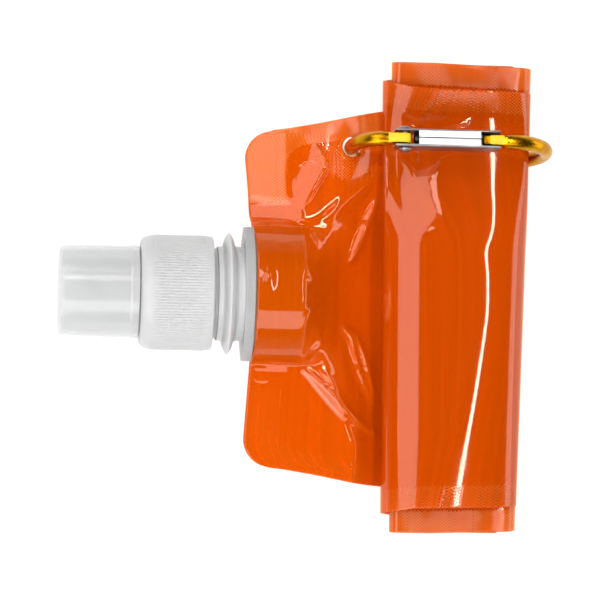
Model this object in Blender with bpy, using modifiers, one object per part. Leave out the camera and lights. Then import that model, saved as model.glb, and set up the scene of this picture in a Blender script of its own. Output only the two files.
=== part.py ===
"""Folding water bottle: a film pouch rolled up from its base and held by a carabiner, with a moulded spout,
a ribbed screw cap, a push-pull drinking nozzle and a clear dust cap.

Metres, +Z up. The bottle lies on the plane z = 0 with its spout along -X and the roll's axis along Y.
Run it with: blender --background --python part.py
"""

import math

import bmesh
import bpy
from mathutils import Vector

MM = 0.001
TURN = 2 * math.pi
COLLECTION = "folding_water_bottle"

# Running and resting gaps between neighbouring solids
GAP = 0.3 * MM

# Spout stack. Heights are measured outward from the fitment's base plate, along the spout's axis.
SPOUT_FACE_X = -16.0 * MM
SPOUT_AXIS_Z = 15.1 * MM
ROUND_STEPS = 40
NOZZLE_STEPS = 32
HOLE_STEPS = 24
SMALL_STEPS = 16

NECK_BORE_R = 9.4 * MM
NECK_R = 11.2 * MM
COLLAR_R = 11.75 * MM
COLLAR_TOP = 6.6 * MM
RIM_HEIGHT = 23.2 * MM
RIM_CHAMFER = 0.4 * MM
RING_R = SPOUT_AXIS_Z
RING_LOW = 2.0 * MM
RING_HIGH = 5.4 * MM
RING_EDGE = 0.9 * MM

THREAD_PITCH = 3.2 * MM
THREAD_TURNS = 1.25
THREAD_ROOT = 1.6 * MM
THREAD_CREST = 0.7 * MM
THREAD_START = 17.3 * MM
THREAD_STEPS = 32
NECK_THREAD_R = 12.35 * MM
CAP_THREAD_R = 11.6 * MM
THREAD_BURIED = 0.3 * MM

PLATE_THICKNESS = 2.4 * MM
PLATE_ARC_R = 18.6 * MM
PLATE_ARC_OFFSET = 6.4 * MM
BOAT_LENGTH = 12.1 * MM
BOAT_ARC_R = 18.8 * MM
BOAT_ARC_OFFSET = 8.0 * MM
BOAT_GROOVE = 0.5 * MM
BOAT_RIBS = 4
BOAT_RIB_WIDTH = 2.0 * MM
LENS_STATIONS = (0.0, 4.5 * MM, 9.0 * MM, 12.5 * MM, 15.0 * MM, 16.7 * MM)

LINER_INNER_R = 9.4 * MM
LINER_OUTER_R = 12.2 * MM
LINER_LOW = 23.45 * MM
LINER_THICKNESS = 0.7 * MM

CAP_LOW = 7.75 * MM
CAP_CORE_R = 13.9 * MM
CAP_BORE_R = 12.75 * MM
CAP_CEILING = 24.4 * MM
DECK_TOP = 25.7 * MM
DECK_R = 12.0 * MM
SHOULDER_LOW = 23.9 * MM
SHOULDER_R = 14.05 * MM
RIB_COUNT = 120
RIB_PEAK_R = 14.35 * MM
RIB_VALLEY_R = 14.05 * MM
RIB_LOW = 8.0 * MM
RIB_HIGH = 23.7 * MM
SNAP_RING_OUTER_R = 10.1 * MM
SNAP_RING_INNER_R = 9.35 * MM
SNAP_RING_TOP = 27.3 * MM

CHIMNEY_R = 5.8 * MM
CHIMNEY_BORE_R = 4.6 * MM
CHIMNEY_TOP = 33.5 * MM
CHIMNEY_BEAD_R = 6.3 * MM
CHIMNEY_BEAD_WIDTH = 1.0 * MM
PLUG_R = 2.2 * MM
PLUG_LOW = 30.8 * MM
PLUG_TOP = 39.5 * MM
SPOKES = 3
SPOKE_WIDTH = 1.2 * MM
SPOKE_HEIGHT = 1.6 * MM

NOZZLE_LOW = DECK_TOP + GAP
NOZZLE_FLANGE_R = 9.0 * MM
NOZZLE_FLANGE_THICKNESS = 1.5 * MM
NOZZLE_BODY_R = 7.7 * MM
NOZZLE_WAIST_R = 6.9 * MM
NOZZLE_LIP_R = 7.8 * MM
NOZZLE_SHOULDER = 34.0 * MM
NOZZLE_WAIST = 36.0 * MM
NOZZLE_LIP = 38.5 * MM
NOZZLE_TOP = 40.2 * MM
NOZZLE_MOUTH_R = 2.5 * MM
NOZZLE_BORE_R = 6.6 * MM
NOZZLE_BORE_TOP = 33.9 * MM
NOZZLE_THROAT_R = 5.0 * MM
NOZZLE_CEILING = 38.4 * MM
NOZZLE_BEAD_R = 6.1 * MM
NOZZLE_BEAD_WIDTH = 0.7 * MM

DUST_LOW = DECK_TOP + GAP
DUST_TOP = 46.0 * MM
DUST_BASE_R = 11.6 * MM
DUST_TIP_R = 11.25 * MM
DUST_WALL = 1.1 * MM
DUST_CORNER = 1.0 * MM

# Film pouch. It runs from its shoulder edge down to the bed of the roll and then turns four times.
FILM = 0.25 * MM
FILM_GAP = 0.3 * MM
SANDWICH = FILM_GAP + 2 * FILM
SPLIT_LEFT = 2.6 * MM
SPLIT_RIGHT = 4.6 * MM
EDGE_CENTRE_X = -13.2 * MM
EDGE_SIDE_X = -15.5 * MM
EDGE_CENTRE_Y = 17.5 * MM
EDGE_SIDE_Y = 34.0 * MM
SHOULDER_CORNER = 7.0 * MM
# Half widths of the pouch at distances from the shoulder edge
HALF_WIDTHS = ((0.0, 40.0), (34.0, 47.2), (72.0, 52.0), (110.0, 52.8), (150.0, 58.0), (190.0, 59.2), (260.0, 59.2))

BED_Z = SANDWICH / 2
ROLL_TOP_Z = 16.8 * MM
BED_LIFT = 4.6 * MM
TOP_DROP = 4.0 * MM
WAIST_FLAT = 3.5 * MM
WAIST_EASE = 9.5 * MM
RAMP_END_X = 26.5 * MM
RAMP_START_X = -1.0 * MM
RAMP_START_SHIFT = 6.0 * MM
SIDE_DROP = 3.1 * MM
SIDE_DROP_START = 18.0 * MM
SIDE_DROP_EASE = 16.0 * MM
POCKET_ARC_R = 19.15 * MM
POCKET_ARC_OFFSET = 8.0 * MM
POCKET_FADE_X = -1.2 * MM
POCKET_FADE = 11.0 * MM

ROLL_LEFT_X = 19.55 * MM
ROLL_RIGHT_X = 56.1 * MM
ROLL_LEFT_SLANT = -0.0144
ROLL_RIGHT_SLANT = 0.0154
TURN_REACH = (6.0 * MM, 5.5 * MM, 3.6 * MM, 2.0 * MM)
TURN_INSET = (0.0, 0.0, 1.6 * MM, 2.2 * MM)
TURN_STEPS = 6
CORE_END_INSET = 5.0 * MM
CORE_GAP = 1.5 * MM
CORE_OPENING = 2.5 * MM
RAMP_STEPS = 8
PASS_STEPS = 2
ROLL_STATIONS = (-61.0, -42.0, 0.0, 22.0, 26.5, 31.5, 35.2, 38.6, 42.3, 47.0, 51.8, 61.0)
STATION_STEP = 0.6 * MM
NECK_STATIONS = (0.0, 4.5, 9.0, 12.5, 15.0, 16.7, 17.6, 19.0, 24.0, 30.0)
NECK_EDGE_INSETS = (5.6, 2.6, 0.8, 0.0)
NECK_ROWS = (0.0, 0.36, 0.72, 0.82, 0.91, 1.0)

EYELET_X = 11.3 * MM
EYELET_Y = 37.05 * MM
EYELET_R = 3.1 * MM
EYELET_LOW_Z = 5.5 * MM
EYELET_HIGH_Z = 15.5 * MM

GUSSET_DEPTH = 22.0 * MM
GUSSET_FILM = 0.2 * MM
GUSSET_HALF_GAP = 0.3 * MM
GUSSET_INSET = 0.3 * MM
GUSSET_SIDE_INSET = 0.5 * MM

# Carabiner. Its own plane holds x along the ring and y across it; y = 0 is the ring's middle.
RING_CENTRE_Y = 37.2 * MM
RING_CENTRE_Z = 12.0 * MM
RING_TILT = math.radians(78.0)
BAR_OFFSET = 10.3 * MM
ROD_R = 1.85 * MM
LEFT_ARC_X = 18.25 * MM
LEFT_ARC_REACH = 7.4 * MM
RIGHT_ARC_X = 48.75 * MM
RIGHT_ARC_REACH = 11.4 * MM
ARC_STEPS = 12
ROD_BEVEL = 4
TAB_THICKNESS = 2.6 * MM
TAB_R = 1.8 * MM
NOSE_X = 42.6 * MM
NOSE_LOW = 9.2 * MM
NOSE_HIGH = 12.0 * MM
NOSE_ROUND = 1.0 * MM
TAB_ROOT = 1.2 * MM

PIVOT_X = 23.2 * MM
PIVOT_HOLE_R = 1.3 * MM
RIVET_R = 1.0 * MM
RIVET_HEAD_R = 1.6 * MM
RIVET_HEAD_HEIGHT = 0.5 * MM
GATE_LEFT_X = 20.5 * MM
GATE_RIGHT_X = 47.1 * MM
GATE_WIDTH = 4.6 * MM
GATE_WALL = 0.7 * MM
GATE_LOW = 8.0 * MM
GATE_HIGH = 12.6 * MM
WEB_START_X = 25.6 * MM
LIP_LEFT_X = 26.5 * MM
LIP_RIGHT_X = 42.0 * MM
SEAM_WIDTH = 0.3 * MM
STOP_LEFT_X = 41.2 * MM
STOP_LENGTH = 0.7 * MM
STOP_HIGH = 11.0 * MM

PLUNGER_X = 25.35 * MM
PLUNGER_R = 1.2 * MM
PLUNGER_HEAD = 1.5 * MM
PLUNGER_STEM_R = 0.5 * MM
PLUNGER_STEM = 5.0 * MM
SPRING_LEFT_X = 27.45 * MM
SPRING_RIGHT_X = 40.7 * MM
SPRING_R = 0.95 * MM
SPRING_WIRE_R = 0.17 * MM
SPRING_TURNS = 8
SPRING_POINTS = 8

ORANGE = (0.90, 0.22, 0.01)
DEEP_ORANGE = (0.80, 0.16, 0.01)
FROSTED = (0.80, 0.81, 0.82)
CLEAR = (0.86, 0.87, 0.88)
GOLD = (0.90, 0.52, 0.03)
STEEL = (0.72, 0.72, 0.70)


# ---------------------------------------------------------------- scene and materials


def clear_scene():
    """Removes whatever the file holds."""
    for obj in list(bpy.data.objects):
        bpy.data.objects.remove(obj)


def part_collection():
    """The collection that every piece goes in."""
    collection = bpy.data.collections.get(COLLECTION) or bpy.data.collections.new(COLLECTION)
    if collection.name not in bpy.context.scene.collection.children:
        bpy.context.scene.collection.children.link(collection)
    return collection


def principled(name, colour, roughness, metallic=0.0):
    """A Principled BSDF material."""
    material = bpy.data.materials.new(name)
    material.use_nodes = True
    shader = material.node_tree.nodes["Principled BSDF"]
    shader.inputs["Base Color"].default_value = (*colour, 1.0)
    shader.inputs["Roughness"].default_value = roughness
    shader.inputs["Metallic"].default_value = metallic
    return material


def axis_empty(name, location, rotation=(0.0, 0.0, 0.0), parent=None):
    """An empty that stands for a joint's axis or a sub-assembly's own frame."""
    empty = bpy.data.objects.new(name, None)
    part_collection().objects.link(empty)
    empty.parent = parent
    empty.location = location
    empty.rotation_euler = rotation
    return empty


# ---------------------------------------------------------------- shape helpers


def new_object(name, data):
    """A new object in the part's collection."""
    obj = bpy.data.objects.new(name, data)
    part_collection().objects.link(obj)
    return obj


def solid(obj):
    """Makes a curve, or a mesh with modifiers, into one plain closed mesh whose faces point out."""
    bpy.context.view_layer.update()
    depsgraph = bpy.context.evaluated_depsgraph_get()
    mesh = bpy.data.meshes.new_from_object(obj.evaluated_get(depsgraph), depsgraph=depsgraph)
    shell = bmesh.new()
    shell.from_mesh(mesh)
    bmesh.ops.remove_doubles(shell, verts=shell.verts, dist=0.001 * MM)
    bmesh.ops.recalc_face_normals(shell, faces=shell.faces)
    shell.to_mesh(mesh)
    shell.free()
    made = new_object(obj.name, mesh)
    name = obj.name
    made.matrix_world = obj.matrix_world
    bpy.data.objects.remove(obj)
    made.name = name
    return made


def combine(target, other, operation):
    """Target with other joined to it (UNION) or cut from it (DIFFERENCE). Other is used up."""
    modifier = target.modifiers.new(operation.lower(), "BOOLEAN")
    modifier.operation = operation
    modifier.solver = "EXACT"
    modifier.object = other
    result = solid(target)
    bpy.data.objects.remove(other)
    return result


def turned(name, profile, closed=False, steps=ROUND_STEPS):
    """A solid of revolution about Z. The profile lists (radius, height) down its outer side."""
    mesh = bpy.data.meshes.new(name)
    points = [(radius, 0.0, height) for radius, height in profile]
    edges = [(i, i + 1) for i in range(len(points) - 1)]
    if closed:
        edges.append((len(points) - 1, 0))
    mesh.from_pydata(points, edges, [])
    obj = new_object(name, mesh)
    screw = obj.modifiers.new("turn", "SCREW")
    screw.axis = "Z"
    screw.angle = TURN
    screw.steps = steps
    screw.render_steps = steps
    screw.use_merge_vertices = True
    screw.merge_threshold = 0.0001 * MM
    return solid(obj)


def arc(centre, radius, start_degrees, end_degrees, steps):
    """Points of a circular arc as (radius, height) or (x, y) pairs."""
    points = []
    for i in range(steps + 1):
        angle = math.radians(start_degrees + (end_degrees - start_degrees) * i / steps)
        points.append((centre[0] + radius * math.cos(angle), centre[1] + radius * math.sin(angle)))
    return points


def disc(name, radius, low, high, steps=ROUND_STEPS, location=(0.0, 0.0)):
    """A cylinder along Z between two heights."""
    shell = bmesh.new()
    bmesh.ops.create_cone(
        shell, cap_ends=True, segments=steps, radius1=radius, radius2=radius, depth=high - low
    )
    bmesh.ops.translate(shell, verts=shell.verts, vec=(location[0], location[1], (low + high) / 2))
    mesh = bpy.data.meshes.new(name)
    shell.to_mesh(mesh)
    shell.free()
    return new_object(name, mesh)


def block(name, low, high):
    """A box between two corners."""
    shell = bmesh.new()
    bmesh.ops.create_cube(shell, size=1.0)
    size = Vector(high) - Vector(low)
    middle = (Vector(high) + Vector(low)) / 2
    bmesh.ops.scale(shell, verts=shell.verts, vec=size)
    bmesh.ops.translate(shell, verts=shell.verts, vec=middle)
    mesh = bpy.data.meshes.new(name)
    shell.to_mesh(mesh)
    shell.free()
    return new_object(name, mesh)


def plate(name, outline, low, high):
    """A flat outline in the XY plane, extruded between two heights."""
    curve = bpy.data.curves.new(name, "CURVE")
    curve.dimensions = "2D"
    curve.fill_mode = "BOTH"
    curve.extrude = (high - low) / 2
    spline = curve.splines.new("POLY")
    spline.points.add(len(outline) - 1)
    for point, (x, y) in zip(spline.points, outline):
        point.co = (x, y, 0.0, 1.0)
    spline.use_cyclic_u = True
    obj = new_object(name, curve)
    obj.location = (0.0, 0.0, (low + high) / 2)
    obj = solid(obj)
    obj.data.transform(obj.matrix_world)
    obj.location = (0.0, 0.0, 0.0)
    return obj


def helix_ridge(name, root_r, crest_r, start):
    """A screw thread's ridge about Z, from its root radius to its crest radius, with flat ends."""
    mesh = bpy.data.meshes.new(name)
    half_root = THREAD_ROOT / 2
    half_crest = THREAD_CREST / 2
    profile = (
        (root_r, 0.0, start + half_root),
        (crest_r, 0.0, start + half_crest),
        (crest_r, 0.0, start - half_crest),
        (root_r, 0.0, start - half_root),
    )
    mesh.from_pydata(profile, ((0, 1), (1, 2), (2, 3), (3, 0)), ())
    obj = new_object(name, mesh)
    screw = obj.modifiers.new("thread", "SCREW")
    screw.axis = "Z"
    screw.angle = TURN * THREAD_TURNS
    screw.screw_offset = THREAD_PITCH * THREAD_TURNS
    screw.steps = round(THREAD_STEPS * THREAD_TURNS)
    screw.render_steps = screw.steps
    screw.use_merge_vertices = False
    obj = solid(obj)
    shell = bmesh.new()
    shell.from_mesh(obj.data)
    bmesh.ops.holes_fill(shell, edges=shell.edges, sides=len(profile))
    bmesh.ops.recalc_face_normals(shell, faces=shell.faces)
    shell.to_mesh(obj.data)
    shell.free()
    return obj


def sheet(name, rows, columns, place, thickness):
    """A film of even thickness whose middle surface passes through place(row, column)."""
    grid = bmesh.new()
    bmesh.ops.create_grid(grid, x_segments=rows, y_segments=columns, size=0.5)
    for vertex in grid.verts:
        row = round((vertex.co.x + 0.5) * rows)
        column = round((vertex.co.y + 0.5) * columns)
        vertex.co = place(row, column)
    mesh = bpy.data.meshes.new(name)
    grid.to_mesh(mesh)
    grid.free()
    obj = new_object(name, mesh)
    solidify = obj.modifiers.new("thickness", "SOLIDIFY")
    solidify.thickness = thickness
    solidify.offset = 0.0
    solidify.use_even_offset = True
    return solid(obj)


def finish(obj, material, parent=None, smooth=True):
    """Gives a piece its material, its parent and its shading."""
    obj.data.materials.clear()
    obj.data.materials.append(material)
    obj.parent = parent
    if smooth:
        obj.data.shade_smooth()
        obj.data.set_sharp_from_angle(angle=math.radians(30.0))
    return obj


def ease(t):
    """A smooth step from 0 to 1."""
    t = min(1.0, max(0.0, t))
    return t * t * (3.0 - 2.0 * t)


# ---------------------------------------------------------------- spout, caps and nozzle


def lens_outline(arc_r, arc_offset, inset=0.0):
    """The boat-shaped outline of the fitment: two arcs that meet in blunt ends."""
    stations = [-y for y in reversed(LENS_STATIONS)] + list(LENS_STATIONS[1:])
    half = [(math.sqrt(arc_r**2 - y * y) - arc_offset - inset, y) for y in stations]
    return half + [(-thickness, y) for thickness, y in reversed(half)]


def make_spout_fitment():
    """Base plate, ribbed boat that the film is welded to, neck, support ring and outside thread."""
    ring_middle = (RING_LOW + RING_HIGH) / 2
    neck = turned(
        "spout_fitment",
        (
            (0.0, RIM_HEIGHT),
            (NECK_R - RIM_CHAMFER, RIM_HEIGHT),
            (NECK_R, RIM_HEIGHT - RIM_CHAMFER),
            (NECK_R, COLLAR_TOP + RIM_CHAMFER),
            (COLLAR_R, COLLAR_TOP),
            (COLLAR_R, RING_HIGH),
            (RING_R - RING_EDGE, ring_middle + RING_EDGE),
            (RING_R, ring_middle + RING_EDGE / 4),
            (RING_R, ring_middle - RING_EDGE / 4),
            (RING_R - RING_EDGE, ring_middle - RING_EDGE),
            (COLLAR_R, RING_LOW),
            (COLLAR_R - RIM_CHAMFER, -PLATE_THICKNESS / 2),
            (0.0, -PLATE_THICKNESS / 2),
        ),
    )
    thread = helix_ridge("neck_thread", NECK_R - THREAD_BURIED, NECK_THREAD_R, THREAD_START)
    neck = combine(neck, thread, "UNION")
    base = plate("base_plate", lens_outline(PLATE_ARC_R, PLATE_ARC_OFFSET), -PLATE_THICKNESS, 0.0)
    neck = combine(neck, base, "UNION")
    boat_end = -PLATE_THICKNESS - BOAT_LENGTH
    core = lens_outline(BOAT_ARC_R, BOAT_ARC_OFFSET, BOAT_GROOVE)
    neck = combine(neck, plate("boat", core, boat_end, -PLATE_THICKNESS / 2), "UNION")
    rib_outline = lens_outline(BOAT_ARC_R, BOAT_ARC_OFFSET)
    rib_pitch = (BOAT_LENGTH - BOAT_GROOVE) / BOAT_RIBS
    for i in range(BOAT_RIBS):
        low = boat_end + BOAT_GROOVE / 2 + i * rib_pitch
        neck = combine(neck, plate("boat_rib", rib_outline, low, low + BOAT_RIB_WIDTH), "UNION")
    bore = disc("bore", NECK_BORE_R, boat_end - PLATE_THICKNESS, RIM_HEIGHT + PLATE_THICKNESS)
    return combine(neck, bore, "DIFFERENCE")


def make_cap_liner():
    """The sealing washer between the neck's rim and the cap's ceiling."""
    high = LINER_LOW + LINER_THICKNESS
    profile = (
        (LINER_OUTER_R, high),
        (LINER_OUTER_R, LINER_LOW),
        (LINER_INNER_R, LINER_LOW),
        (LINER_INNER_R, high),
    )
    return turned("cap_liner", profile, closed=True)


def make_rib_band():
    """The grip of the cap: a many-sided drum with every second corner pulled in."""
    band = disc("rib_band", RIB_PEAK_R, RIB_LOW, RIB_HIGH, steps=2 * RIB_COUNT)
    for vertex in band.data.vertices:
        corner = round(math.atan2(vertex.co.y, vertex.co.x) / TURN * 2 * RIB_COUNT)
        if corner % 2:
            vertex.co.x *= RIB_VALLEY_R / RIB_PEAK_R
            vertex.co.y *= RIB_VALLEY_R / RIB_PEAK_R
    return band


def make_screw_cap():
    """Ribbed cap with an inside thread, and the chimney and plug that the nozzle slides on."""
    shoulder_r = SHOULDER_R - DECK_R
    shoulder_rise = (DECK_TOP - SHOULDER_LOW) / shoulder_r
    shoulder = [
        (r, SHOULDER_LOW + (z - SHOULDER_LOW) * shoulder_rise)
        for r, z in arc((DECK_R, SHOULDER_LOW), shoulder_r, 90.0, 0.0, 4)
    ]
    bead_low = CHIMNEY_TOP - CHIMNEY_BEAD_WIDTH
    bead_edge = CHIMNEY_BEAD_WIDTH / 4
    cap = turned(
        "screw_cap",
        (
            (0.0, CHIMNEY_TOP),
            (CHIMNEY_R, CHIMNEY_TOP),
            (CHIMNEY_BEAD_R, CHIMNEY_TOP - bead_edge),
            (CHIMNEY_BEAD_R, bead_low),
            (CHIMNEY_R, bead_low - bead_edge),
            (CHIMNEY_R, DECK_TOP),
            (SNAP_RING_INNER_R, DECK_TOP),
            (SNAP_RING_INNER_R, SNAP_RING_TOP),
            (SNAP_RING_OUTER_R, SNAP_RING_TOP),
            (SNAP_RING_OUTER_R, DECK_TOP),
            *shoulder,
            (SHOULDER_R, RIB_HIGH - RIM_CHAMFER),
            (CAP_CORE_R, RIB_HIGH - RIM_CHAMFER),
            (CAP_CORE_R, CAP_LOW),
            (0.0, CAP_LOW),
        ),
    )
    cap = combine(cap, make_rib_band(), "UNION")
    cap = combine(cap, disc("cap_bore", CAP_BORE_R, CAP_LOW - GAP, CAP_CEILING), "DIFFERENCE")
    chimney_bore = disc("chimney_bore", CHIMNEY_BORE_R, RIM_HEIGHT, CHIMNEY_TOP + GAP, steps=HOLE_STEPS)
    cap = combine(cap, chimney_bore, "DIFFERENCE")
    start = THREAD_START - THREAD_PITCH / 2
    thread = helix_ridge("cap_thread", CAP_BORE_R + THREAD_BURIED, CAP_THREAD_R, start)
    cap = combine(cap, thread, "UNION")
    plug = disc("plug", PLUG_R, PLUG_LOW, PLUG_TOP, steps=HOLE_STEPS)
    for i in range(SPOKES):
        spoke = block(
            "spoke",
            (0.0, -SPOKE_WIDTH / 2, PLUG_LOW + GAP),
            (CHIMNEY_BORE_R + GAP, SPOKE_WIDTH / 2, PLUG_LOW + GAP + SPOKE_HEIGHT),
        )
        spoke.rotation_euler = (0.0, 0.0, TURN * i / SPOKES)
        plug = combine(plug, spoke, "UNION")
    return combine(cap, plug, "UNION")


def make_drinking_nozzle():
    """The push-pull mouthpiece. Its skirt slides on the chimney and its mouth closes on the plug."""
    bead_low = NOZZLE_LOW + GAP
    profile = (
        (NOZZLE_MOUTH_R, NOZZLE_TOP),
        (NOZZLE_LIP_R - RIM_CHAMFER, NOZZLE_TOP),
        (NOZZLE_LIP_R, NOZZLE_TOP - RIM_CHAMFER),
        (NOZZLE_LIP_R, NOZZLE_LIP),
        (NOZZLE_WAIST_R, NOZZLE_WAIST),
        (NOZZLE_BODY_R, NOZZLE_SHOULDER),
        (NOZZLE_BODY_R, NOZZLE_LOW + NOZZLE_FLANGE_THICKNESS),
        (NOZZLE_FLANGE_R, NOZZLE_LOW + NOZZLE_FLANGE_THICKNESS),
        (NOZZLE_FLANGE_R, NOZZLE_LOW),
        (NOZZLE_BORE_R, NOZZLE_LOW),
        (NOZZLE_BEAD_R, bead_low),
        (NOZZLE_BEAD_R, bead_low + NOZZLE_BEAD_WIDTH),
        (NOZZLE_BORE_R, bead_low + NOZZLE_BEAD_WIDTH + GAP),
        (NOZZLE_BORE_R, NOZZLE_BORE_TOP),
        (NOZZLE_THROAT_R, NOZZLE_WAIST),
        (NOZZLE_THROAT_R, NOZZLE_CEILING),
        (NOZZLE_MOUTH_R, NOZZLE_CEILING),
    )
    return turned("drinking_nozzle", profile, closed=True, steps=NOZZLE_STEPS)


def make_dust_cap():
    """The clear cup over the nozzle. It snaps over the ring on the screw cap's deck."""
    corner = (DUST_TIP_R - DUST_CORNER, DUST_TOP - DUST_CORNER)
    inner_corner = DUST_CORNER - DUST_WALL / 4
    inner_centre = (DUST_TIP_R - DUST_WALL - inner_corner, DUST_TOP - DUST_WALL - inner_corner)
    profile = [(0.0, DUST_TOP)]
    profile += arc(corner, DUST_CORNER, 90.0, 0.0, 4)
    profile += [(DUST_BASE_R, DUST_LOW), (DUST_BASE_R - DUST_WALL, DUST_LOW)]
    profile += arc(inner_centre, inner_corner, 0.0, 90.0, 3)
    profile += [(0.0, DUST_TOP - DUST_WALL)]
    return turned("dust_cap", profile)


# ---------------------------------------------------------------- film pouch


def half_width(distance):
    """Half the pouch's width at a distance from its shoulder edge."""
    for (d0, w0), (d1, w1) in zip(HALF_WIDTHS, HALF_WIDTHS[1:]):
        if distance <= d1 * MM:
            share = max(0.0, distance / MM - d0) / (d1 - d0)
            return (w0 + (w1 - w0) * share) * MM
    return HALF_WIDTHS[-1][1] * MM


def waist(y, bar_y):
    """1 where a carabiner bar presses the roll in, easing to 0 beside it."""
    return 1.0 - ease((abs(y - bar_y) - WAIST_FLAT) / WAIST_EASE)


def bar_y(offset):
    """Where along Y the carabiner's bar at that offset crosses the roll."""
    return RING_CENTRE_Y + offset * math.cos(RING_TILT)


def pass_heights(y):
    """Heights of the five flat passes of the rolled pouch at y, in the order that the film takes them."""
    bottom = BED_Z + BED_LIFT * waist(y, bar_y(-BAR_OFFSET))
    top = ROLL_TOP_Z - TOP_DROP * waist(y, bar_y(BAR_OFFSET) - MM / 2)
    rise = top - bottom
    return (bottom, top, bottom + rise / 4, bottom + rise * 3 / 4, bottom + rise / 2)


def ramp_height(x, y):
    """Height of the pouch's middle between the spout and the bed of the roll."""
    bed = pass_heights(y)[0]
    start_z = SPOUT_AXIS_Z - SIDE_DROP * ease((abs(y) - SIDE_DROP_START) / SIDE_DROP_EASE)
    start_x = RAMP_START_X + RAMP_START_SHIFT * min(1.0, abs(y) / RING_CENTRE_Y)
    share = ease((x - start_x) / (RAMP_END_X - start_x))
    return bed + (start_z - bed) * (1.0 - share)


def pocket(x, y):
    """Half the gap between the two films where they pass round the spout's boat."""
    if abs(y) >= POCKET_ARC_R:
        return FILM_GAP / 2
    bulge = max(0.0, math.sqrt(POCKET_ARC_R**2 - y * y) - POCKET_ARC_OFFSET)
    fade = max(0.0, 1.0 - max(0.0, x - POCKET_FADE_X) / POCKET_FADE) ** 2
    return max(FILM_GAP / 2, bulge * fade)


def half_turn(tip, reach, start_z, end_z):
    """A half ellipse from one height to another, whose tip points left or right."""
    middle = (start_z + end_z) / 2
    points = []
    for i in range(TURN_STEPS + 1):
        angle = math.pi * i / TURN_STEPS
        points.append((tip - reach + reach * math.sin(angle), middle + (start_z - middle) * math.cos(angle)))
    return points


def roll_path(y):
    """The pouch's middle line at y, from the split at the shoulder to the base in the roll's core, as a
    list of (x, z, half the gap between the films)."""
    heights = pass_heights(y)
    left = ROLL_LEFT_X + ROLL_LEFT_SLANT * y + SANDWICH / 2
    right = ROLL_RIGHT_X + ROLL_RIGHT_SLANT * y - SANDWICH / 2
    path = []
    for i in range(RAMP_STEPS + 1):
        x = SPLIT_RIGHT + (RAMP_END_X - SPLIT_RIGHT) * i / RAMP_STEPS
        path.append((x, ramp_height(x, y), pocket(x, y)))
    for i, (reach, inset) in enumerate(zip(TURN_REACH, TURN_INSET)):
        to_right = i % 2 == 0
        tip = right - inset if to_right else left + inset
        turn = half_turn(tip, reach if to_right else -reach, heights[i], heights[i + 1])
        path += straight(path[-1], turn[0])
        path += [(x, z, FILM_GAP / 2) for x, z in turn]
    core_end = (right + SANDWICH / 2 - CORE_END_INSET, heights[-1])
    opened = (path[-1][0] + CORE_OPENING, heights[-1])
    core = [opened] + [(x, z) for x, z, _ in straight(opened, core_end)] + [core_end]
    path += [(x, z, CORE_GAP / 2) for x, z in core]
    return path


def straight(start, end):
    """Points between two ends of a flat pass, without the ends."""
    points = []
    for i in range(1, PASS_STEPS):
        share = i / PASS_STEPS
        x = start[0] + (end[0] - start[0]) * share
        points.append((x, start[1] + (end[1] - start[1]) * share, FILM_GAP / 2))
    return points


def path_normal(path, row):
    """The unit normal of the path at a row, on the side of the roll's inside."""
    before = path[max(0, row - 1)]
    after = path[min(len(path) - 1, row + 1)]
    along = Vector((after[0] - before[0], after[1] - before[1])).normalized()
    return (-along.y, along.x)


def roll_distances():
    """How far each row of the roll lies from the pouch's shoulder edge, along the film."""
    path = roll_path(0.0)
    distances = [SPLIT_RIGHT - EDGE_SIDE_X]
    for before, after in zip(path, path[1:]):
        distances.append(distances[-1] + math.hypot(after[0] - before[0], after[1] - before[1]))
    return distances


def make_roll_film(name, side):
    """One film of the pouch from the split at the shoulder to the roll's core. Side is 1 for the front
    film, which is on the inside of the roll, and -1 for the back film."""
    distances = roll_distances()
    last = len(ROLL_STATIONS) - 1

    def place(row, column):
        limit = half_width(distances[row])
        y = max(ROLL_STATIONS[column] * MM, -limit + STATION_STEP * column)
        y = min(y, limit - STATION_STEP * (last - column))
        path = roll_path(y)
        x, z, half_gap = path[row]
        offset = side * (half_gap + FILM / 2)
        normal = path_normal(path, row)
        return Vector((x + normal[0] * offset, y, z + normal[1] * offset))

    film = sheet(name, len(distances) - 1, last, place, FILM)
    hole = disc("eyelet", EYELET_R, EYELET_LOW_Z, EYELET_HIGH_Z, HOLE_STEPS, (EYELET_X, EYELET_Y))
    return combine(film, hole, "DIFFERENCE")


def edge_x(y, limit):
    """Where the pouch's shoulder edge lies along X, with its rounded corners."""
    share = (abs(y) - EDGE_CENTRE_Y) / (EDGE_SIDE_Y - EDGE_CENTRE_Y)
    x = EDGE_CENTRE_X + (EDGE_SIDE_X - EDGE_CENTRE_X) * ease(share)
    into_corner = abs(y) - (limit - SHOULDER_CORNER)
    if into_corner > 0.0:
        x += SHOULDER_CORNER - math.sqrt(max(0.0, SHOULDER_CORNER**2 - into_corner**2))
    return x


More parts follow.
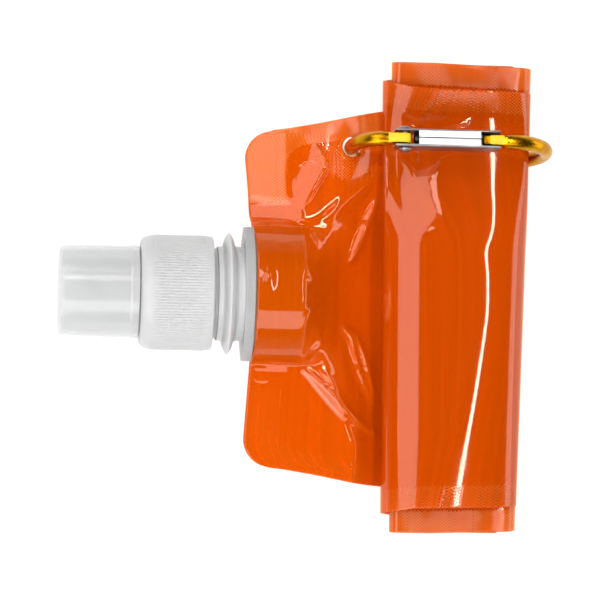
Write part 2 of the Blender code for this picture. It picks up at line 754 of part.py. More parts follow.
def make_neck_film(name, side):
    """One film of the pouch from its shoulder edge to the split. Side is 1 for the front, -1 for the back."""
    fixed = [station * MM for station in NECK_STATIONS]
    columns = [(-1, 0.0, inset * MM) for inset in reversed(NECK_EDGE_INSETS)]
    columns += [(0, -y, 0.0) for y in reversed(fixed[1:])] + [(0, y, 0.0) for y in fixed]
    columns += [(1, 0.0, inset * MM) for inset in NECK_EDGE_INSETS]
    columns = sorted(columns[: len(NECK_EDGE_INSETS)], key=lambda c: c[2]) + columns[len(NECK_EDGE_INSETS) :]

    def station(column, limit):
        edge, y, inset = columns[column]
        return y if edge == 0 else edge * (limit - inset)

    def place(row, column):
        shoulder_limit = half_width(0.0)
        start = edge_x(station(column, shoulder_limit), shoulder_limit)
        x = start + (SPLIT_LEFT - start) * NECK_ROWS[row]
        y = station(column, half_width(x - EDGE_SIDE_X))
        offset = pocket(x, y) + FILM / 2
        return Vector((x, y, ramp_height(x, y) + side * offset))

    return sheet(name, len(NECK_ROWS) - 1, len(columns) - 1, place, FILM)


def make_gusset_film():
    """The folded gusset between the two films at the pouch's base, in the core of the roll."""
    last = len(ROLL_STATIONS) - 1
    limit = half_width(HALF_WIDTHS[-1][0] * MM) - GUSSET_SIDE_INSET
    fold_steps = 4
    arms = (0.0, 0.5, 1.0)
    rows = 2 * len(arms) + fold_steps - 2

    def place(row, column):
        y = max(ROLL_STATIONS[column] * MM, -limit + STATION_STEP * column)
        y = min(y, limit - STATION_STEP * (last - column))
        end_x = ROLL_RIGHT_X + ROLL_RIGHT_SLANT * y - CORE_END_INSET - GUSSET_INSET
        middle = pass_heights(y)[-1]
        fold_x = end_x - GUSSET_DEPTH
        if row < len(arms):
            return Vector((end_x - GUSSET_DEPTH * arms[row], y, middle + GUSSET_HALF_GAP))
        if row > rows - len(arms):
            return Vector((end_x - GUSSET_DEPTH * arms[rows - row], y, middle - GUSSET_HALF_GAP))
        angle = math.pi * (row - len(arms) + 1) / fold_steps
        x = fold_x - GUSSET_HALF_GAP * math.sin(angle)
        return Vector((x, y, middle + GUSSET_HALF_GAP * math.cos(angle)))

    return sheet("gusset_film", rows, last, place, GUSSET_FILM)


# ---------------------------------------------------------------- carabiner


def bent_rod():
    """The carabiner's rod: a straight back bar with a half ellipse at each end."""
    points = []
    for i in range(ARC_STEPS + 1):
        angle = math.pi * i / ARC_STEPS
        points.append((LEFT_ARC_X - LEFT_ARC_REACH * math.sin(angle), BAR_OFFSET * math.cos(angle)))
    for i in range(ARC_STEPS + 1):
        angle = math.pi * i / ARC_STEPS
        points.append((RIGHT_ARC_X + RIGHT_ARC_REACH * math.sin(angle), -BAR_OFFSET * math.cos(angle)))
    curve = bpy.data.curves.new("carabiner_body", "CURVE")
    curve.dimensions = "3D"
    curve.bevel_depth = ROD_R
    curve.bevel_resolution = ROD_BEVEL
    curve.use_fill_caps = True
    spline = curve.splines.new("POLY")
    spline.points.add(len(points) - 1)
    for point, (x, y) in zip(spline.points, points):
        point.co = (x, y, 0.0, 1.0)
    return solid(new_object("carabiner_body", curve))


def make_carabiner_body():
    """The rod with its two flattened ends: the hinge tab and the nose."""
    body = bent_rod()
    pivot = (PIVOT_X, BAR_OFFSET)
    hinge_tab = [(LEFT_ARC_X - TAB_ROOT, BAR_OFFSET + TAB_R - GAP), (LEFT_ARC_X - TAB_ROOT, BAR_OFFSET - TAB_R + GAP)]
    hinge_tab += arc(pivot, TAB_R, -90.0, 90.0, 12)
    body = combine(body, plate("hinge_tab", hinge_tab, -TAB_THICKNESS / 2, TAB_THICKNESS / 2), "UNION")
    nose_end = RIGHT_ARC_X + TAB_ROOT
    nose = [(nose_end, NOSE_LOW), (nose_end, NOSE_HIGH)]
    nose += arc((NOSE_X + NOSE_ROUND, NOSE_HIGH - NOSE_ROUND), NOSE_ROUND, 90.0, 180.0, 4)
    nose += arc((NOSE_X + NOSE_ROUND, NOSE_LOW + NOSE_ROUND), NOSE_ROUND, 180.0, 270.0, 4)
    body = combine(body, plate("nose", nose, -TAB_THICKNESS / 2, TAB_THICKNESS / 2), "UNION")
    hole = disc("pivot_hole", PIVOT_HOLE_R, -TAB_THICKNESS, TAB_THICKNESS, HOLE_STEPS, pivot)
    return combine(body, hole, "DIFFERENCE")


def make_gate_rivet():
    """The rivet that the gate turns on, about its own Z."""
    head_low = GATE_WIDTH / 2 + GAP
    head_high = head_low + RIVET_HEAD_HEIGHT
    profile = (
        (0.0, head_high),
        (RIVET_HEAD_R - RIVET_HEAD_HEIGHT / 2, head_high),
        (RIVET_HEAD_R, head_low),
        (RIVET_R, head_low),
        (RIVET_R, -head_low),
        (RIVET_HEAD_R, -head_low),
        (RIVET_HEAD_R - RIVET_HEAD_HEIGHT / 2, -head_high),
        (0.0, -head_high),
    )
    return turned("gate_rivet", profile, steps=SMALL_STEPS)


def gate_block(name, low_x, high_x, low_y, high_y, half_z):
    """A box given in the carabiner's plane, moved so that the gate's pivot is its origin."""
    low = (low_x - PIVOT_X, low_y - BAR_OFFSET, -half_z)
    high = (high_x - PIVOT_X, high_y - BAR_OFFSET, half_z)
    return block(name, low, high)


def make_carabiner_gate():
    """The folded steel channel: two side walls, a web on its inner side and two lips that meet at a seam."""
    half_inside = GATE_WIDTH / 2 - GATE_WALL
    past = 2 * GATE_WALL
    gate = gate_block("carabiner_gate", GATE_LEFT_X, GATE_RIGHT_X, GATE_LOW, GATE_HIGH, GATE_WIDTH / 2)
    floor = GATE_LOW + GATE_WALL
    ceiling = GATE_HIGH - GATE_WALL
    cuts = (
        (GATE_LEFT_X - past, GATE_RIGHT_X + past, floor, ceiling, half_inside),
        (GATE_LEFT_X - past, LIP_LEFT_X, floor + past, GATE_HIGH + past, half_inside),
        (LIP_RIGHT_X, GATE_RIGHT_X + past, floor + past, GATE_HIGH + past, half_inside),
        (LIP_LEFT_X - past, LIP_RIGHT_X + past, ceiling - past, GATE_HIGH + past, SEAM_WIDTH / 2),
        (GATE_LEFT_X - past, WEB_START_X, GATE_LOW - past, floor + past, half_inside),
    )
    for low_x, high_x, low_y, high_y, half_z in cuts:
        gate = combine(gate, gate_block("cut", low_x, high_x, low_y, high_y, half_z), "DIFFERENCE")
    pivot_hole = disc("pivot_hole", PIVOT_HOLE_R, -GATE_WIDTH, GATE_WIDTH, HOLE_STEPS)
    gate = combine(gate, pivot_hole, "DIFFERENCE")
    stop_right = STOP_LEFT_X + STOP_LENGTH
    stop = gate_block("spring_stop", STOP_LEFT_X, stop_right, floor - GAP, STOP_HIGH, half_inside + GAP)
    return combine(gate, stop, "UNION")


def make_spring_plunger():
    """The pin between the spring and the hinge tab, turned about its own Z and laid along the gate."""
    head_end = PLUNGER_X + PLUNGER_HEAD
    stem_end = head_end + PLUNGER_STEM
    profile = (
        (0.0, stem_end - PIVOT_X),
        (PLUNGER_STEM_R, stem_end - PIVOT_X),
        (PLUNGER_STEM_R, head_end - PIVOT_X),
        (PLUNGER_R, head_end - PIVOT_X),
        (PLUNGER_R, PLUNGER_X - PIVOT_X),
        (0.0, PLUNGER_X - PIVOT_X),
    )
    plunger = turned("spring_plunger", profile, steps=SMALL_STEPS)
    plunger.rotation_euler = (0.0, TURN / 4, 0.0)
    return plunger


def make_gate_spring():
    """The coil spring inside the gate, along the gate's length."""
    curve = bpy.data.curves.new("gate_spring", "CURVE")
    curve.dimensions = "3D"
    curve.bevel_depth = SPRING_WIRE_R
    curve.bevel_resolution = 1
    curve.use_fill_caps = True
    spline = curve.splines.new("POLY")
    count = SPRING_TURNS * SPRING_POINTS
    spline.points.add(count)
    for i, point in enumerate(spline.points):
        angle = TURN * i / SPRING_POINTS
        x = SPRING_LEFT_X + (SPRING_RIGHT_X - SPRING_LEFT_X) * i / count - PIVOT_X
        point.co = (x, SPRING_R * math.cos(angle), SPRING_R * math.sin(angle), 1.0)
    return solid(new_object("gate_spring", curve))


# ---------------------------------------------------------------- the bottle


def make_bottle():
    """Builds every piece and places it."""
    clear_scene()
    film = principled("orange_film", ORANGE, 0.12)
    core_film = principled("gusset_orange", DEEP_ORANGE, 0.2)
    frosted = principled("frosted_plastic", FROSTED, 0.35)
    clear = principled("clear_plastic", CLEAR, 0.1)
    white = principled("nozzle_plastic", CLEAR, 0.4)
    gold = principled("anodised_aluminium", GOLD, 0.25, 1.0)
    steel = principled("steel", STEEL, 0.25, 1.0)

    spout_axis = axis_empty("spout_axis", (SPOUT_FACE_X, 0.0, SPOUT_AXIS_Z), (0.0, -TURN / 4, 0.0))
    finish(make_spout_fitment(), frosted, spout_axis)
    finish(make_cap_liner(), white, spout_axis)
    finish(make_screw_cap(), frosted, spout_axis)
    finish(make_drinking_nozzle(), white, spout_axis)
    finish(make_dust_cap(), clear, spout_axis)

    finish(make_neck_film("front_film_neck", 1), film)
    finish(make_neck_film("back_film_neck", -1), film)
    finish(make_roll_film("front_film_roll", 1), film)
    finish(make_roll_film("back_film_roll", -1), film)
    finish(make_gusset_film(), core_film)

    ring = axis_empty("carabiner_rock", (0.0, RING_CENTRE_Y, RING_CENTRE_Z), (RING_TILT, 0.0, 0.0))
    pivot = axis_empty("gate_pivot", (PIVOT_X, BAR_OFFSET, 0.0), parent=ring)
    finish(make_carabiner_body(), gold, ring)
    finish(make_carabiner_gate(), steel, pivot, smooth=False)
    finish(make_gate_rivet(), steel, pivot)
    finish(make_spring_plunger(), steel, pivot)
    finish(make_gate_spring(), steel, pivot)


make_bottle()
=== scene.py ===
"""Looks of the folding water bottle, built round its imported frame.

The bottle lies on the plane z = 0, in metres and the frame's own axes. The spout points along -X, the roll
lies along Y and the carabiner is at +Y.
"""

import math

import bmesh
import bpy
import numpy as np
from mathutils import Matrix, Vector


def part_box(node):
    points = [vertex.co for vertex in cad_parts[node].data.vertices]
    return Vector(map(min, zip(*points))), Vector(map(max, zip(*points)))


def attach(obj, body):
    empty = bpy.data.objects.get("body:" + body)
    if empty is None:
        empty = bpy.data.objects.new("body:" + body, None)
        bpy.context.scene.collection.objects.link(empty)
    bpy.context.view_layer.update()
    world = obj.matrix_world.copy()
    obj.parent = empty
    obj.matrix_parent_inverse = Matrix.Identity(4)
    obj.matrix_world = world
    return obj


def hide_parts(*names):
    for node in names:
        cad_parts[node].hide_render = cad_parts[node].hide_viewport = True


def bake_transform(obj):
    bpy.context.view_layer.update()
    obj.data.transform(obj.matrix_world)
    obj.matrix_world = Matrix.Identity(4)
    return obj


MM = 0.001
TURN = 2 * math.pi

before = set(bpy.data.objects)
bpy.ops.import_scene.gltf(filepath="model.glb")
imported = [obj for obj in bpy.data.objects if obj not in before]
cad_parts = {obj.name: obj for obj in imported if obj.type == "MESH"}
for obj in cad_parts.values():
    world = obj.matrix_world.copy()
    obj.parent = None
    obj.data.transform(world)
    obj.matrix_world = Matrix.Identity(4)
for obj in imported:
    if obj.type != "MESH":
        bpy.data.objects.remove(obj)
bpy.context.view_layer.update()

# ---- places taken from the frame

FITMENT_LOW, FITMENT_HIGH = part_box("spout_fitment")
CAP_LOW, CAP_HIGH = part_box("screw_cap")
DUST_LOW, DUST_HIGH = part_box("dust_cap")
NOZZLE_LOW, NOZZLE_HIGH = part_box("drinking_nozzle")
LINER_LOW, LINER_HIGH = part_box("cap_liner")
RING_LOW, RING_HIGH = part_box("carabiner_body")

RIM_HEIGHT = 23.2 * MM
SPOUT_AXIS_Z = (DUST_LOW.z + DUST_HIGH.z) / 2
SPOUT_FACE_X = FITMENT_LOW.x + RIM_HEIGHT
RING_R = (FITMENT_HIGH.z - FITMENT_LOW.z) / 2
RIB_PEAK_R = (CAP_HIGH.z - CAP_LOW.z) / 2
DUST_BASE_R = (DUST_HIGH.z - DUST_LOW.z) / 2
DUST_TOP = SPOUT_FACE_X - DUST_LOW.x
DUST_FOOT = SPOUT_FACE_X - DUST_HIGH.x
NOZZLE_TOP = SPOUT_FACE_X - NOZZLE_LOW.x
NOZZLE_FOOT = SPOUT_FACE_X - NOZZLE_HIGH.x
NOZZLE_FLANGE_R = (NOZZLE_HIGH.z - NOZZLE_LOW.z) / 2

# Spout stack, measured outward from the base plate's face
DECK_TOP = 25.7 * MM
CAP_FOOT = 7.75 * MM
THREAD_PITCH = 3.2 * MM
ROUND_STEPS = 120

# Film pouch: the rule that the frame's films follow. Tables are in millimetres; HALF_WIDTHS and SHIFTS run
# along the pouch from its shoulder edge, SHOULDER_EDGE and LEAF_EDGE give x along y
FILM = 0.22 * MM
FILM_GAP = 0.3 * MM
SANDWICH = 0.8 * MM
EDGE_CENTRE_X = -13.2 * MM
EDGE_SIDE_X = -15.5 * MM
SHOULDER_EDGE = ((-36.0, -14.9), (-17.5, -13.9), (-12.5, -13.2), (12.5, -13.2), (17.5, -14.1), (34.0, -15.7))
SHOULDER_CORNER = 7.0 * MM
HALF_WIDTHS = (
    (0.0, 42.1), (6.0, 42.7), (34.0, 47.0), (72.0, 52.0), (110.0, 52.8), (150.0, 58.0),
    (190.0, 59.2), (260.0, 59.2),
)
SHIFTS = ((0.0, -1.1), (34.0, -0.6), (72.0, 0.0))
BED_Z = SANDWICH / 2
ROLL_TOP_Z = 16.8 * MM
BED_LIFT = 5.0 * MM
TOP_DROP = 4.0 * MM
WAIST_FLAT = 3.5 * MM
WAIST_EASE = 21.0 * MM
LOW_BAR_Y = 35.05 * MM
HIGH_BAR_Y = 38.85 * MM
RAMP_END_X = 26.5 * MM
RAMP_START_X = -1.0 * MM
RAMP_START_SHIFT = 14.0 * MM
SIDE_DROP = 3.1 * MM
SIDE_DROP_START = 18.0 * MM
SIDE_DROP_SPAN = 31.0 * MM
POCKET_ARC_R = 19.15 * MM
POCKET_ARC_OFFSET = 8.0 * MM
POCKET_FADE_X = -1.2 * MM
POCKET_FADE = 11.0 * MM
ROLL_LEFT_X = 19.55 * MM
ROLL_RIGHT_X = 56.1 * MM
ROLL_LEFT_SLANT = -0.0144
ROLL_RIGHT_SLANT = 0.0154
RING_CENTRE_Y = 37.2 * MM
FRONT_EYELET = (11.25 * MM, 37.5 * MM, 2.6 * MM)
BACK_EYELET = (11.1 * MM, 37.55 * MM, 2.5 * MM)
LEAF_EDGE = ((18.0, -1.3), (21.2, -1.2), (26.6, 1.6), (32.8, 4.6), (46.0, 4.6))
LEAF_SLOPE = 0.16
HATCH_PITCH = 0.62 * MM
WAVE_UNIT = 20.0


def ease(t):
    """A smooth step from 0 to 1, for numbers and arrays."""
    t = np.clip(t, 0.0, 1.0)
    return t * t * (3.0 - 2.0 * t)


def in_mm(*values):
    """Values in millimetres, as metres."""
    return [value * MM for value in values]


def on_table(table, place):
    """The value at a place, from a table of places and values in millimetres."""
    return np.interp(place / MM, *zip(*table)) * MM


# ---- materials


def node_material(name):
    """A new node material, its tree and its Principled shader."""
    material = bpy.data.materials.new(name)
    material.use_nodes = True
    tree = material.node_tree
    return material, tree, tree.nodes["Principled BSDF"]


def add_node(tree, kind, **settings):
    """A shader node of a kind, with its settings."""
    node = tree.nodes.new("ShaderNode" + kind)
    for key, value in settings.items():
        setattr(node, key, value)
    return node


def set_inputs(node, **values):
    """Sets a node's inputs by name, with _ for a space."""
    for key, value in values.items():
        node.inputs[key.replace("_", " ")].default_value = value


def mix_colour(tree, factor, low, high):
    """A colour between low and high by a factor socket."""
    mix = add_node(tree, "Mix", data_type="RGBA")
    set_inputs(mix, A=(*low, 1.0), B=(*high, 1.0))
    tree.links.new(factor, mix.inputs["Factor"])
    return mix.outputs["Result"]


def ranged(tree, value, low, high, out_low=0.0, out_high=1.0):
    """A value socket mapped from one range to another, held inside it."""
    node = add_node(tree, "MapRange")
    set_inputs(node, From_Min=low, From_Max=high, To_Min=out_low, To_Max=out_high)
    tree.links.new(value, node.inputs["Value"])
    return node.outputs["Result"]


def calculated(tree, operation, a, b):
    """A Math node on sockets or numbers."""
    node = add_node(tree, "Math", operation=operation)
    for socket, value in zip(node.inputs, (a, b)):
        if isinstance(value, (int, float)):
            socket.default_value = value
        else:
            tree.links.new(value, socket)
    return node.outputs[0]


def noise(tree, vector, scale, detail=2.0, roughness=0.5):
    """A noise texture's value."""
    node = add_node(tree, "TexNoise")
    set_inputs(node, Scale=scale, Detail=detail, Roughness=roughness)
    tree.links.new(vector, node.inputs["Vector"])
    return node.outputs["Fac"]


def stretched(tree, vector, scale):
    """A coordinate scaled by different amounts along its axes."""
    node = add_node(tree, "Mapping")
    set_inputs(node, Scale=scale)
    tree.links.new(vector, node.inputs["Vector"])
    return node.outputs["Vector"]


def bump(tree, height, distance, strength=1.0):
    """A Bump node's normal."""
    node = add_node(tree, "Bump")
    set_inputs(node, Distance=distance, Strength=strength)
    tree.links.new(height, node.inputs["Height"])
    return node.outputs["Normal"]


def let_through(tree, shader, tint, see_through):
    """Mixes the shader with clear tinted material, see_through being the clear part's share."""
    clear = add_node(tree, "BsdfTransparent")
    set_inputs(clear, Color=(*tint, 1.0))
    mix = add_node(tree, "MixShader")
    set_inputs(mix, Fac=1.0 - see_through)
    tree.links.new(clear.outputs[0], mix.inputs[1])
    tree.links.new(shader.outputs[0], mix.inputs[2])
    tree.links.new(mix.outputs[0], tree.nodes["Material Output"].inputs["Surface"])


def film_material(name, body, tint, seal_colour, see_through):
    """Clear coloured laminate: tinted see-through film with a gloss, fine draw lines along the web, and a
    cross-hatched emboss where the seal attribute is 1."""
    material, tree, shader = node_material(name)
    layout = add_node(tree, "UVMap", uv_map="film").outputs["UV"]
    seal = add_node(tree, "Attribute", attribute_name="seal").outputs["Fac"]
    lines = noise(tree, stretched(tree, layout, (900.0, 9.0, 1.0)), 1.0, 2.0, 0.6)
    cloud = noise(tree, layout, 90.0, 3.0)
    hatch = []
    for angle in (TURN / 7, -TURN / 7):
        turned_uv = add_node(tree, "Mapping")
        set_inputs(turned_uv, Rotation=(0.0, 0.0, angle))
        tree.links.new(layout, turned_uv.inputs["Vector"])
        wave = add_node(tree, "TexWave", bands_direction="X")
        set_inputs(wave, Scale=TURN / (WAVE_UNIT * HATCH_PITCH), Distortion=0.0)
        tree.links.new(turned_uv.outputs["Vector"], wave.inputs["Vector"])
        hatch.append(wave.outputs["Fac"])
    grid = calculated(tree, "MULTIPLY", hatch[0], hatch[1])
    patchy = ranged(tree, noise(tree, layout, 130.0, 2.0), 0.38, 0.62, 0.15, 1.0)
    emboss = calculated(tree, "MULTIPLY", calculated(tree, "MULTIPLY", grid, seal), patchy)
    colour = mix_colour(tree, ranged(tree, lines, 0.35, 0.65), body, [c * 0.88 for c in body])
    sealed = add_node(tree, "Mix", data_type="RGBA")
    pale = calculated(tree, "MULTIPLY", seal, 0.2)
    pale = calculated(tree, "ADD", pale, calculated(tree, "MULTIPLY", emboss, 0.9))
    tree.links.new(pale, sealed.inputs["Factor"])
    tree.links.new(colour, sealed.inputs["A"])
    set_inputs(sealed, B=(*seal_colour, 1.0))
    tree.links.new(sealed.outputs["Result"], shader.inputs["Base Color"])
    tree.links.new(ranged(tree, cloud, 0.3, 0.7, 0.04, 0.09), shader.inputs["Roughness"])
    normal = bump(tree, emboss, 0.038 * MM, 1.0)
    tree.links.new(normal, shader.inputs["Normal"])
    tree.links.new(normal, shader.inputs["Coat Normal"])
    set_inputs(shader, IOR=1.52, Specular_IOR_Level=0.9, Coat_Weight=0.6, Coat_Roughness=0.03)
    let_through(tree, shader, tint, see_through)
    return material


def plastic_material(name, colour, roughness, grain, depth=0.0, see_through=0.0):
    """Moulded plastic with a fine grain, slightly cloudy; depth is how much light soaks in."""
    material, tree, shader = node_material(name)
    where = add_node(tree, "TexCoord").outputs["Object"]
    cloud = noise(tree, where, 160.0, 3.0)
    fine = noise(tree, where, 2600.0, 2.0)
    low = [c * 0.95 for c in colour]
    mottled = mix_colour(tree, ranged(tree, cloud, 0.35, 0.65), low, colour)
    tree.links.new(mottled, shader.inputs["Base Color"])
    rough = ranged(tree, cloud, 0.3, 0.7, roughness * 0.85, roughness * 1.15)
    tree.links.new(rough, shader.inputs["Roughness"])
    tree.links.new(bump(tree, fine, grain, 0.5), shader.inputs["Normal"])
    set_inputs(shader, IOR=1.5)
    if depth:
        set_inputs(shader, Subsurface_Weight=depth, Subsurface_Radius=grey(1.0), Subsurface_Scale=1.5 * MM)
    if see_through:
        set_inputs(shader, Coat_Weight=1.0, Coat_Roughness=0.16)
        let_through(tree, shader, (0.97, 0.98, 0.98), see_through)
    return material


def grey(value):
    """A grey colour."""
    return (value, value, value)


# How a metal's draw marks are stretched along X, Y and Z
EVEN = (300, 300, 300)
ACROSS_GATE = (60, 900, 900)


def metal_material(name, colour, dark, roughness, stretch, scratch, metallic=1.0):
    """Metal with fine draw marks along one direction and a slightly uneven colour."""
    material, tree, shader = node_material(name)
    where = add_node(tree, "TexCoord").outputs["Object"]
    cloud = noise(tree, where, 240.0, 3.0)
    marks = noise(tree, stretched(tree, where, stretch), 1.0, 4.0, 0.6)
    mottled = mix_colour(tree, ranged(tree, cloud, 0.35, 0.65), dark, colour)
    tree.links.new(mottled, shader.inputs["Base Color"])
    rough = calculated(tree, "ADD", ranged(tree, marks, 0.3, 0.7, 0.0, roughness * 0.5), roughness * 0.75)
    tree.links.new(rough, shader.inputs["Roughness"])
    tree.links.new(bump(tree, marks, scratch, 0.6), shader.inputs["Normal"])
    set_inputs(shader, Metallic=metallic)
    return material


# ---- shape helpers


def new_object(name, data):
    """A new object in the scene."""
    obj = bpy.data.objects.new(name, data)
    bpy.context.scene.collection.objects.link(obj)
    return obj


def solid(obj):
    """Makes a curve, or a mesh with modifiers, into one plain mesh whose faces point out."""
    bpy.context.view_layer.update()
    depsgraph = bpy.context.evaluated_depsgraph_get()
    mesh = bpy.data.meshes.new_from_object(obj.evaluated_get(depsgraph), depsgraph=depsgraph)
    shell = bmesh.new()
    shell.from_mesh(mesh)
    bmesh.ops.remove_doubles(shell, verts=shell.verts, dist=0.001 * MM)
    bmesh.ops.recalc_face_normals(shell, faces=shell.faces)
    shell.to_mesh(mesh)
    shell.free()
    name = obj.name
    matrix = obj.matrix_world.copy()
    bpy.data.objects.remove(obj)
    made = new_object(name, mesh)
    made.matrix_world = matrix
    return made


def combine(target, other, operation):
    """Target with other joined to it (UNION) or cut from it (DIFFERENCE). Other is used up."""
    modifier = target.modifiers.new(operation.lower(), "BOOLEAN")
    modifier.operation = operation
    modifier.solver = "EXACT"
    modifier.object = other
    result = solid(target)
    bpy.data.objects.remove(other)
    return result


def arc(centre, radius, start_degrees, end_degrees, steps):
    """Points of a circular arc."""
    points = []
    for i in range(steps + 1):
        angle = math.radians(start_degrees + (end_degrees - start_degrees) * i / steps)
        points.append((centre[0] + radius * math.cos(angle), centre[1] + radius * math.sin(angle)))
    return points


def rounded(points, radii, steps=5):
    """A profile with its inner corners rounded. Radii has one value for each point; the ends stay."""
    made = [points[0]]
    for before, here, after, radius in zip(points, points[1:], points[2:], radii[1:]):
        here_v = Vector(here)
        to_before = Vector(before) - here_v
        to_after = Vector(after) - here_v
        cut = min(radius, 0.45 * to_before.length, 0.45 * to_after.length)
        if cut <= 0.0:
            made.append(here)
            continue
        start = here_v + to_before.normalized() * cut
        end = here_v + to_after.normalized() * cut
        for i in range(steps + 1):
            t = i / steps
            point = start * (1 - t) ** 2 + here_v * 2 * t * (1 - t) + end * t**2
            made.append((point.x, point.y))
    made.append(points[-1])
    return made


def turned(name, profile, closed=False, steps=ROUND_STEPS):
    """A solid of revolution about Z. The profile lists (radius, height) down its outer side."""
    mesh = bpy.data.meshes.new(name)
    points = [(radius, 0.0, height) for radius, height in profile]
    edges = [(i, i + 1) for i in range(len(points) - 1)]
    if closed:
        edges.append((len(points) - 1, 0))
    mesh.from_pydata(points, edges, [])
    obj = new_object(name, mesh)
    screw = obj.modifiers.new("turn", "SCREW")
    screw.axis = "Z"
    screw.angle = TURN
    screw.steps = steps
    screw.render_steps = steps
    screw.use_merge_vertices = True
    screw.merge_threshold = 0.0001 * MM
    return solid(obj)


def from_shell(name, shell):
    """A new object from a bmesh, which is used up."""
    mesh = bpy.data.meshes.new(name)
    shell.to_mesh(mesh)
    shell.free()
    return new_object(name, mesh)


def disc(name, radius, low, high, steps=ROUND_STEPS):
    """A cylinder along Z between two heights."""
    shell = bmesh.new()
    ends = {"radius1": radius, "radius2": radius}
    bmesh.ops.create_cone(shell, cap_ends=True, segments=steps, depth=high - low, **ends)
    bmesh.ops.translate(shell, verts=shell.verts, vec=(0.0, 0.0, (low + high) / 2))
    return from_shell(name, shell)


def block(name, low, high):
    """A box between two corners."""
    shell = bmesh.new()
    bmesh.ops.create_cube(shell, size=1.0)
    bmesh.ops.scale(shell, verts=shell.verts, vec=Vector(high) - Vector(low))
    bmesh.ops.translate(shell, verts=shell.verts, vec=(Vector(high) + Vector(low)) / 2)
    return from_shell(name, shell)


def plate(name, outline, low, high):
    """A flat outline in the XY plane, extruded between two heights."""
    curve = bpy.data.curves.new(name, "CURVE")
    curve.dimensions = "2D"
    curve.fill_mode = "BOTH"
    curve.extrude = (high - low) / 2
    spline = curve.splines.new("POLY")
    spline.points.add(len(outline) - 1)
    for point, (x, y) in zip(spline.points, outline):
        point.co = (x, y, 0.0, 1.0)
    spline.use_cyclic_u = True
    obj = new_object(name, curve)
    obj.location = (0.0, 0.0, (low + high) / 2)
    obj = solid(obj)
    obj.data.transform(obj.matrix_world)
    obj.location = (0.0, 0.0, 0.0)
    return obj


def softened(obj, width, segments=2, angle=30.0):
    """Rounds the sharp edges of a piece."""
    bevel = obj.modifiers.new("soft_edges", "BEVEL")
    bevel.width = width
    bevel.segments = segments
    bevel.limit_method = "ANGLE"
    bevel.angle_limit = math.radians(angle)
    return solid(obj)


def shaded(obj, material, angle=35.0):
    """Gives a piece its material and its shading."""
    obj.data.materials.clear()
    obj.data.materials.append(material)
    obj.data.shade_smooth()
    obj.data.set_sharp_from_angle(angle=math.radians(angle))
    return obj


def second_material(obj, material, chosen):
    """Gives a second material to the faces whose centre and normal the chosen test picks."""
    obj.data.materials.append(material)
    for face in obj.data.polygons:
        if chosen(face.center, face.normal):
            face.material_index = 1


def lay(obj, matrix):
    """Puts a piece made in a sub-assembly's own axes into the frame."""
    obj.data.transform(matrix)
    obj.data.update()
    return obj


def placed(obj, matrix, material, angle=35.0):
    """Puts a finished piece into the frame with its material and shading."""
    return shaded(lay(obj, matrix), material, angle)


SPOUT_MATRIX = Matrix.Translation((SPOUT_FACE_X, 0.0, SPOUT_AXIS_Z)) @ Matrix.Rotation(-TURN / 4, 4, "Y")


# ---- spout, caps and nozzle


def lens(arc_r, arc_offset, inset=0.0):
    """The boat-shaped outline of the fitment: two arcs that meet in blunt ends."""
    half_length = 16.7 * MM
    steps = 28
    half = []
    for i in range(steps + 1):
        y = half_length * math.sin(math.pi * (i / steps - 0.5))
        half.append((math.sqrt(arc_r**2 - y * y) - arc_offset - inset, y))
    return half + [(-thickness, y) for thickness, y in reversed(half)]


def make_fitment(material, base_shade_material):
    """Neck with its collar and support ring, base plate, and the ribbed boat between the films."""
    bore_r, neck_r, collar_r, flank_r = *in_mm(9.4, 11.2, 11.75), RING_R - 1.2 * MM
    collar_top, ring_middle, plate_low = in_mm(6.6, 3.7, -2.4)
    boat_end = FITMENT_HIGH.x - SPOUT_FACE_X
    boat_arc = (18.8 * MM, 8.0 * MM)
    points = [(bore_r, RIM_HEIGHT), (neck_r, RIM_HEIGHT), (neck_r, collar_top), (collar_r, collar_top)]
    points += [(collar_r, ring_middle + 1.5 * MM), (flank_r, ring_middle + 0.95 * MM)]
    points += [(RING_R, ring_middle + 0.2 * MM), (RING_R, ring_middle - 0.2 * MM)]
    points += [(flank_r, ring_middle - 0.95 * MM), (collar_r, ring_middle - 1.5 * MM)]
    points += [(collar_r, plate_low / 2), (bore_r, plate_low / 2)]
    radii = in_mm(0.0, 0.4, 0.3, 0.2, 0.7, 0.8, 0.3, 0.3, 0.8, 0.7, 0.0, 0.0)
    piece = turned("spout_moulding", rounded(points, radii), closed=True)

    def bored(part, radius):
        return combine(part, disc("hole", radius, -0.02, 0.03), "DIFFERENCE")

    base = plate("base", lens(18.6 * MM, 6.4 * MM), plate_low, 0.0)
    base = bored(softened(base, 0.55 * MM, 3), bore_r + MM / 2)
    piece = combine(piece, base, "UNION")
    boat = bored(plate("boat", lens(*boat_arc, 0.5 * MM), -boat_end, plate_low / 2), bore_r)
    ribs = 4
    groove = 0.5 * MM
    pitch = (boat_end + plate_low - groove) / ribs
    for i in range(ribs):
        low = -boat_end + groove / 2 + i * pitch
        rib = bored(plate("rib", lens(*boat_arc), low, low + 2.0 * MM), bore_r + MM / 2)
        boat = combine(boat, rib, "UNION")
    piece = combine(piece, boat, "UNION")
    shaded(piece, material, 30.0)

    def on_base(centre, normal):
        return plate_low - 0.02 * MM <= centre.z <= 0.02 * MM

    # The base plate's faces take the darker copy of the plastic, which is painted shade.
    second_material(piece, base_shade_material, on_base)
    return lay(piece, SPOUT_MATRIX)


